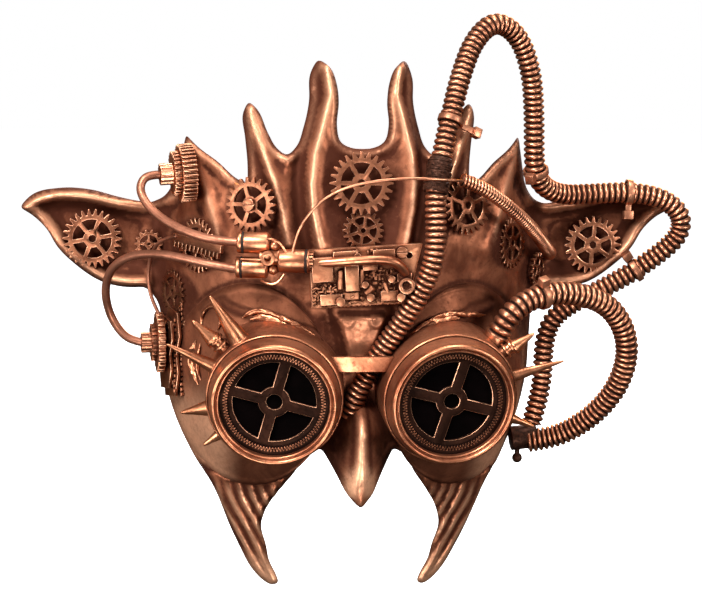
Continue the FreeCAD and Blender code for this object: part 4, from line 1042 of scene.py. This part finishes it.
def make_board_detail():
    """Solder joints, pins, small capacitors and bent leads between the large parts of the board."""
    rng = random.Random(7)
    base = board_matrix()
    shapes = [rod_shape(base, (-11.3, 3.2, BOARD_TOP + 1.6), (-11.6, -4.6, BOARD_TOP + 1.6), 1.15),
              rod_shape(base, (-2.6, 3.0, BOARD_TOP + 1.5), (-2.9, -4.4, BOARD_TOP + 1.5), 1.1),
              rod_shape(base, (-0.9, -7.2, BOARD_TOP + 1.2), (1.8, -4.3, BOARD_TOP + 2.0), 1.6),
              rod_shape(base, (6.5, -3.0, BOARD_TOP + 1.3), (7.9, -7.8, BOARD_TOP + 1.3), 0.75),
              rod_shape(base, (2.4, 3.0, BOARD_TOP + 1.0), (2.5, -0.4, BOARD_TOP + 1.0), 0.6),
              box_shape(base, (-10.2, -9.4, BOARD_TOP - 0.3), (-4.0, -6.0, BOARD_TOP + 1.6), 0.4)]
    for low, high, count in BOARD_CROWDS:
        for _ in range(count):
            x, y = rng.uniform(low[0], high[0]), rng.uniform(low[1], high[1])
            turn = Matrix.Rotation(rng.choice((0, math.pi / 2, rng.uniform(-0.8, 0.8))), 4, "Z")
            place = base @ Matrix.Translation((x * MM, y * MM, BOARD_TOP * MM)) @ turn
            kind = rng.random()
            if kind < 0.5:
                wide, tall, deep = rng.uniform(0.25, 1.0), rng.uniform(0.2, 0.6), rng.uniform(0.5, 1.9)
                shapes.append(box_shape(place, (-wide, -tall, -0.4), (wide, tall, deep)))
            elif kind < 0.75:
                radius, deep = rng.uniform(0.3, 0.65), rng.uniform(0.7, 2.0)
                shapes.append(rod_shape(place, (0, 0, -0.3), (0.1, 0, deep), radius, 0.2))
            else:
                reach, rise = rng.uniform(0.8, 1.9), rng.uniform(0.6, 1.6)
                bend = (reach, rng.uniform(-0.5, 0.5), rise)
                lead = [(-reach, 0, -0.2), (-reach, 0, rise), bend, (reach, 0, -0.2)]
                shapes.append(wire_shape(lead, 0.24, place))
    for step in range(90):
        x = -23.2 + 39.4 * step / 89 + rng.uniform(-0.2, 0.2)
        y = -11.6 + rng.uniform(-0.35, 0.2)
        place = base @ Matrix.Translation((x * MM, y * MM, (BOARD_TOP - 0.5) * MM))
        shapes.append(rod_shape(place, (-0.5, 0, rng.uniform(-0.1, 0.3)), (0.5, 0.1, rng.uniform(-0.1, 0.3)),
                                rng.uniform(0.4, 0.62), 0.35))
    for _ in range(16):
        a, r = rng.uniform(0, 6.3), rng.uniform(0, 1.5)
        place = base @ Matrix.Translation(Vector((15.5 + r * math.cos(a), -4.6 + r * math.sin(a), 5.4)) * MM)
        end = (0.4, rng.uniform(-0.4, 0.4), rng.uniform(0, 1.2))
        shapes.append(rod_shape(place, (-0.4, 0, 0), end, 0.35, 0.2))
    merged("board_small_parts", shapes, "board_copper")


def ridged_ring(matrix, outer, inner, low, high, teeth):
    """A short cylinder with straight grooves along it, in mm of a local frame."""
    outline = []
    for tooth in range(teeth):
        for share, radius in ((0.0, outer), (0.5, outer), (0.58, inner), (0.92, inner)):
            a = 2 * math.pi * (tooth + share) / teeth
            outline.append((radius * math.cos(a), radius * math.sin(a)))
    count = len(outline)
    verts = [(x, y, low) for x, y in outline] + [(x, y, high) for x, y in outline]
    faces = [tuple(range(count))[::-1], tuple(range(count, 2 * count))]
    faces += [(k, (k + 1) % count, count + (k + 1) % count, count + k) for k in range(count)]
    return placed(verts, matrix), faces


# toothed edges standing beside the watch plates: across, low end and high end in mm
STRIPS = [(-74.9, -3.0, 29.5), (-72.0, -4.5, 38.5)]


def make_plate_teeth():
    """The toothed edges of the stacked watch plates: columns of small blocks."""
    rng = random.Random(12)
    shapes = []
    outward, sideways = (0.25, -1, 0), (1, 0.25, 0)
    for across, low, high in STRIPS:
        count = round((high - low) / 2.1)
        for tooth in range(count):
            up = low + (tooth + 0.5) * (high - low) / count
            place = axes_frame(Vector((across, -2.0, up)) * MM, outward, sideways)
            half, lift = rng.uniform(0.75, 0.95), rng.uniform(2.6, 3.2)
            shapes.append(box_shape(place, (-half, -0.68, -2.5), (half, 0.68, lift), 0.25))
        spine = axes_frame(Vector((across, -2.0, (low + high) / 2)) * MM, outward, sideways)
        shapes.append(box_shape(spine, (-0.5, (low - high) / 2, -2.5), (0.5, (high - low) / 2, 1.4)))
    merged("plate_edge_teeth", shapes, "gear_copper")


def make_fitting_detail():
    """The grooved nut of the outlet and the thin wires round the pipe fitting."""
    matrix = axes_frame(Vector((-51.8, -48.7, 61)) * MM, (0.985, -0.17, 0), (0, 0, 1))
    shapes = [ridged_ring(matrix @ Matrix.Translation((-1.2 * MM, 0, 0)), 4.5, 3.7, 28.9, 31.4, 20),
              wire_shape([(-41.5, -52, 69.2), (-39.6, -54.5, 69.2), (-37.1, -55.2, 68.9),
                          (-34.4, -55.2, 67.2), (-32.3, -54.6, 63.8)], 0.5),
              wire_shape([(-42.0, -52, 51.6), (-40.2, -54.5, 50.8), (-37.7, -55.2, 50.5),
                          (-34.9, -55.2, 51.6), (-32.9, -54.6, 54.6)], 0.5),
              wire_shape([(-50.5, -52.6, 60.5), (-46.5, -54.2, 60.6), (-42.5, -54.8, 60.6)], 0.42)]
    merged("fitting_wires", shapes, "fitting_copper")


def make_wrap():
    """Dark cord wound untidily round the hose, with loose ends."""
    rng = random.Random(5)
    start, end = Vector((28.9, -52.2, 88.5)), Vector((31.6, -48.6, 102))
    matrix = axes_frame(start * MM, end - start)
    length = (end - start).length
    band = [(4.3, 0), (4.75, 0.6), (4.75, length - 0.6), (4.3, length), (3.9, length), (3.9, 0)]
    verts, faces = lathe(rounded(band, [0.2, 0.5, 0.5, 0.2, 0.1, 0.1]), 48)
    shapes = [(placed(verts, matrix), faces)]
    for _ in range(26):
        rise, turns = rng.uniform(0.5, length - 2.5), rng.uniform(0.7, 2.2)
        lean, first = rng.uniform(-1.5, 2.2), rng.uniform(0, 6.3)
        spots = []
        for step in range(int(24 * turns)):
            t = step / (24 * turns)
            a = first + t * turns * 2 * math.pi
            r = 4.85 + 0.25 * math.sin(a * 3 + first) + 0.12 * rng.random()
            spots.append((r * math.cos(a), r * math.sin(a), rise + lean * t + 0.3 * math.sin(a + first)))
        verts, faces = tube(np.array(spots), np.full(len(spots), rng.uniform(0.22, 0.4)), 7)
        shapes.append((placed(verts, matrix), faces))
    for _ in range(14):
        a, h = rng.uniform(0, 6.3), rng.uniform(0.5, length - 0.5)
        out = rng.uniform(0.8, 2.2)
        side = rng.uniform(-0.5, 0.5)
        spots = [((4.6 + out * t) * math.cos(a + side * t), (4.6 + out * t) * math.sin(a + side * t),
                  h + rng.uniform(-0.3, 0.3) + 1.5 * side * t) for t in (0, 0.3, 0.6, 0.8, 1.0)]
        verts, faces = tube(np.array(spots), [0.2, 0.18, 0.15, 0.1, 0.05], 6)
        shapes.append((placed(verts, matrix), faces))
    merged("wound_cord_wrap", shapes, "dark_wrap", replaces=["hose_wrap"])


# crumpled edges of the plates: path across and up the face, width, thickness, lift off the plate, seed
FOILS = [
    ([(-48.5, 34.2), (-46.5, 35.9), (-43.6, 37.4), (-40.3, 37.6), (-35.8, 36.3), (-29.6, 33.8), (-23.3, 30.5),
      (-18.6, 27.6)], 2.0, 1.9, 1.5, 51),
    ([(-45.5, 33.6), (-41.2, 34.9), (-35.8, 33.7), (-29.6, 31.5), (-24.2, 29.0), (-20.5, 27.0)],
     3.6, 1.3, 0.9, 52),
    ([(18.5, 26.5), (21.1, 28.8), (25.2, 32.1), (29.4, 34.3), (33.9, 36.1), (38.9, 36.7), (44.4, 35.9),
      (53.6, 34.5)], 2.0, 1.9, 1.5, 53),
    ([(20.6, 26.8), (24.0, 29.4), (28.5, 31.8), (33.1, 34.1), (37.2, 35.1), (41.2, 34.4)], 3.6, 1.3, 0.9, 54),
    ([(-64.6, 28.5), (-64.6, 32.1), (-62.2, 36.0), (-59.7, 37.2), (-57.2, 35.5), (-56.6, 31.3),
      (-58.6, 27.3)], 1.6, 1.5, 1.1, 55),
    ([(-66.6, 21.5), (-67.6, 17.5), (-68.8, 12.4), (-67.4, 8.2), (-65.5, 2.8)], 2.4, 1.4, 0.9, 56),
    ([(-65.0, 20.5), (-65.6, 16.0), (-66.2, 10.0), (-64.6, 5.0)], 1.4, 1.4, 1.4, 57)]


def make_foil():
    """The thin glossy lips that the plates' torn edges make round the goggles."""
    around = 16
    shapes = []
    for path, wide, thick, lift, seed in FOILS:
        line, spots = even(nurbs_line([(x, 0, z) for x, z in path]), 0.5 * MM)
        x, z = line[:, 0] / MM, line[:, 2] / MM
        run = np.gradient(np.stack([x, z], 1), axis=0)
        run /= np.linalg.norm(run, axis=1)[:, None]
        depth = plate_depth(x, z) - lift
        end = np.clip(np.minimum(spots, spots[-1] - spots) / (4 * MM), 0.12, 1) ** 0.6
        verts = []
        for k in range(around):
            turn = 2 * math.pi * k / around
            rough = lumps(spots / MM, 0.0, 2.6, seed, k * 0.9)
            u = 0.5 * wide * end * (1 + 0.35 * rough) * math.cos(turn)
            v = 0.5 * thick * end * (1 + 0.6 * rough) * math.sin(turn)
            verts.append(np.stack([x - run[:, 1] * u, depth - v, z + run[:, 0] * u], 1))
        verts = np.stack(verts, 1).reshape(-1, 3)
        _, faces = tube(line, np.ones(len(line)), around)
        shapes.append(([Vector(v) * MM for v in verts], faces))
    piece = merged("crumpled_plate_lips", shapes, "fitting_copper")
    piece.data.set_sharp_from_angle(angle=math.radians(60))


# ---------------------------------------------------------------- build
make_shell()
for side_name, side_sign in SIDES:
    make_eye_plate(side_name, side_sign)
    make_goggle(side_name, side_sign)
    make_spikes(side_name, side_sign)
make_board_detail()
make_fitting_detail()
make_foil()
make_wrap()
make_plate_teeth()
ribbed_hose("corrugated_hose", MAIN_HOSE, 9.0, [(0, 2.5), (1, 2.65)], 1.35, "main_hose")
SIDE_PITCHES = [(0, 3.1), (0.25, 3.0), (0.6, 2.5), (1, 2.2)]
ribbed_hose("corrugated_side_hose", SIDE_HOSE, 10.0, SIDE_PITCHES, 1.5, "side_hose")
spring_conduit()
smooth_tube("upper_bowl_tube", UPPER_TUBE, 3.6, "rubber_tube", "upper_tube")
smooth_tube("lower_bowl_tube", LOWER_TUBE, 3.6, "rubber_tube", "lower_tube")
smooth_tube("thin_knob_cable", KNOB_CABLE, 1.6, "rubber_tube", "knob_cable")
smooth_tube("bare_crown_wire", CROWN_WIRE, 1.2, "copper_wire", "crown_wire", 0.06)
outlet, _ = even(nurbs_line(OUTLET_PIPE), 0.6 * MM)
pipe_verts, pipe_faces = tube(outlet, np.full(len(outlet), 1.95 * MM), 24)
make_piece("bent_outlet_pipe", pipe_verts, pipe_faces, "fitting_copper", replaces=["outlet_pipe"])

ANCHOR_FRONT = 17.2 * MM
for node in [node for node in frame["nodes"] if node not in replaced_nodes]:
    slot_name = SLOT_OF[node]
    worn = slot_name in ("gear_copper", "board_copper")
    part = dress(node, slot_name, BODY_OF.get(node, "root"), 0.22, worn=worn)
    if node == "strap_anchors":
        for vert in part.data.vertices:
            vert.co.y = max(vert.co.y, ANCHOR_FRONT)

# ---------------------------------------------------------------- stage, lights, camera
scene = bpy.context.scene
scene.view_settings.view_transform = "Standard"


def stage_plane(name, corners, colour):
    tree = Tree(name)
    cloud = tree.noise(3, 3)
    shade = [c * 0.985 for c in colour]
    tree.surface("Base Color", tree.mix(tree.spread(cloud, 0.3, 0.7), colour, shade))
    tree.surface("Roughness", 0.8)
    tree.surface("Emission Color", (1, 1, 1, 1))
    tree.surface("Emission Strength", 0.85)
    mesh = bpy.data.meshes.new(name)
    mesh.from_pydata(corners, [], [(0, 1, 2, 3)])
    mesh.materials.append(tree.material)
    piece = bpy.data.objects.new(name, mesh)
    piece.visible_glossy = piece.visible_diffuse = False
    scene.collection.objects.link(piece)
    piece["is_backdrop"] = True


FLOOR = -0.16
stage_plane("floor", [(-3, -3, FLOOR), (3, -3, FLOOR), (3, 3, FLOOR), (-3, 3, FLOOR)], (0.95, 0.95, 0.95))

# soft round lamps: place, the point they face, size across and power
LAMPS = {
    "key": ((-0.50, -0.75, 0.85), (0, 0, 0.03), 0.42, 26),
    "fill": ((0.85, -0.70, 0.30), (0, 0, 0.03), 0.40, 9),
    "top": ((0.15, -0.10, 1.0), (0, 0, 0.05), 0.5, 9),
    "low": ((-0.10, -1.0, -0.42), (0, 0, -0.03), 0.7, 16),
    "left": ((-0.95, -0.55, -0.05), (0, 0, 0), 0.6, 12),
    "back": ((0.45, 1.15, 0.55), (0, 0, 0.03), 0.8, 16),
}
for name, (position, target, size, power) in LAMPS.items():
    light = bpy.data.lights.new(name, "AREA")
    light.shape = "DISK"
    light.size = size
    light.energy = power
    holder = bpy.data.objects.new(name, light)
    holder.location = position
    holder.rotation_euler = (Vector(target) - Vector(position)).to_track_quat("-Z", "Y").to_euler()
    scene.collection.objects.link(holder)

world = bpy.data.worlds.new("studio")
world.use_nodes = True
sky = world.node_tree
back = sky.nodes["Background"]
back.inputs["Color"].default_value = (1, 1, 1, 1)
path = sky.nodes.new("ShaderNodeLightPath")
level = sky.nodes.new("ShaderNodeMapRange")
sky.links.new(path.outputs["Is Camera Ray"], level.inputs["Value"])
level.inputs["To Min"].default_value = 0.11
level.inputs["To Max"].default_value = 1.0
sky.links.new(level.outputs["Result"], back.inputs["Strength"])
scene.world = world

AZIMUTH, ELEVATION, ROLL = math.radians(-6), math.radians(8), math.radians(0.8)
TARGET = Vector((-1.7 * MM, -20 * MM, 39.1 * MM))
DISTANCE = 1.4
# the image is 702 pixels wide, and one of them covers 0.42 mm at the target
VIEW_WIDTH = 702 * 0.42 * MM
camera_data = bpy.data.cameras.new("camera")
camera_data.sensor_width = 36
camera_data.lens = camera_data.sensor_width * DISTANCE / VIEW_WIDTH
camera_data.clip_end = 20
camera = bpy.data.objects.new("camera", camera_data)
level_share = math.cos(ELEVATION)
away = Vector((math.sin(AZIMUTH) * level_share, -math.cos(AZIMUTH) * level_share, math.sin(ELEVATION)))
camera.location = TARGET + away * DISTANCE
facing = (-away).to_track_quat("-Z", "Y").to_matrix() @ Matrix.Rotation(ROLL, 3, "Z")
camera.rotation_euler = facing.to_euler()
scene.collection.objects.link(camera)
scene.camera = camera


def as_list(value):
    return [as_list(v) for v in value] if hasattr(value, "__len__") else float(value)


{"cad": as_list(CAD_BOX), "visual": as_list(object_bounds())}
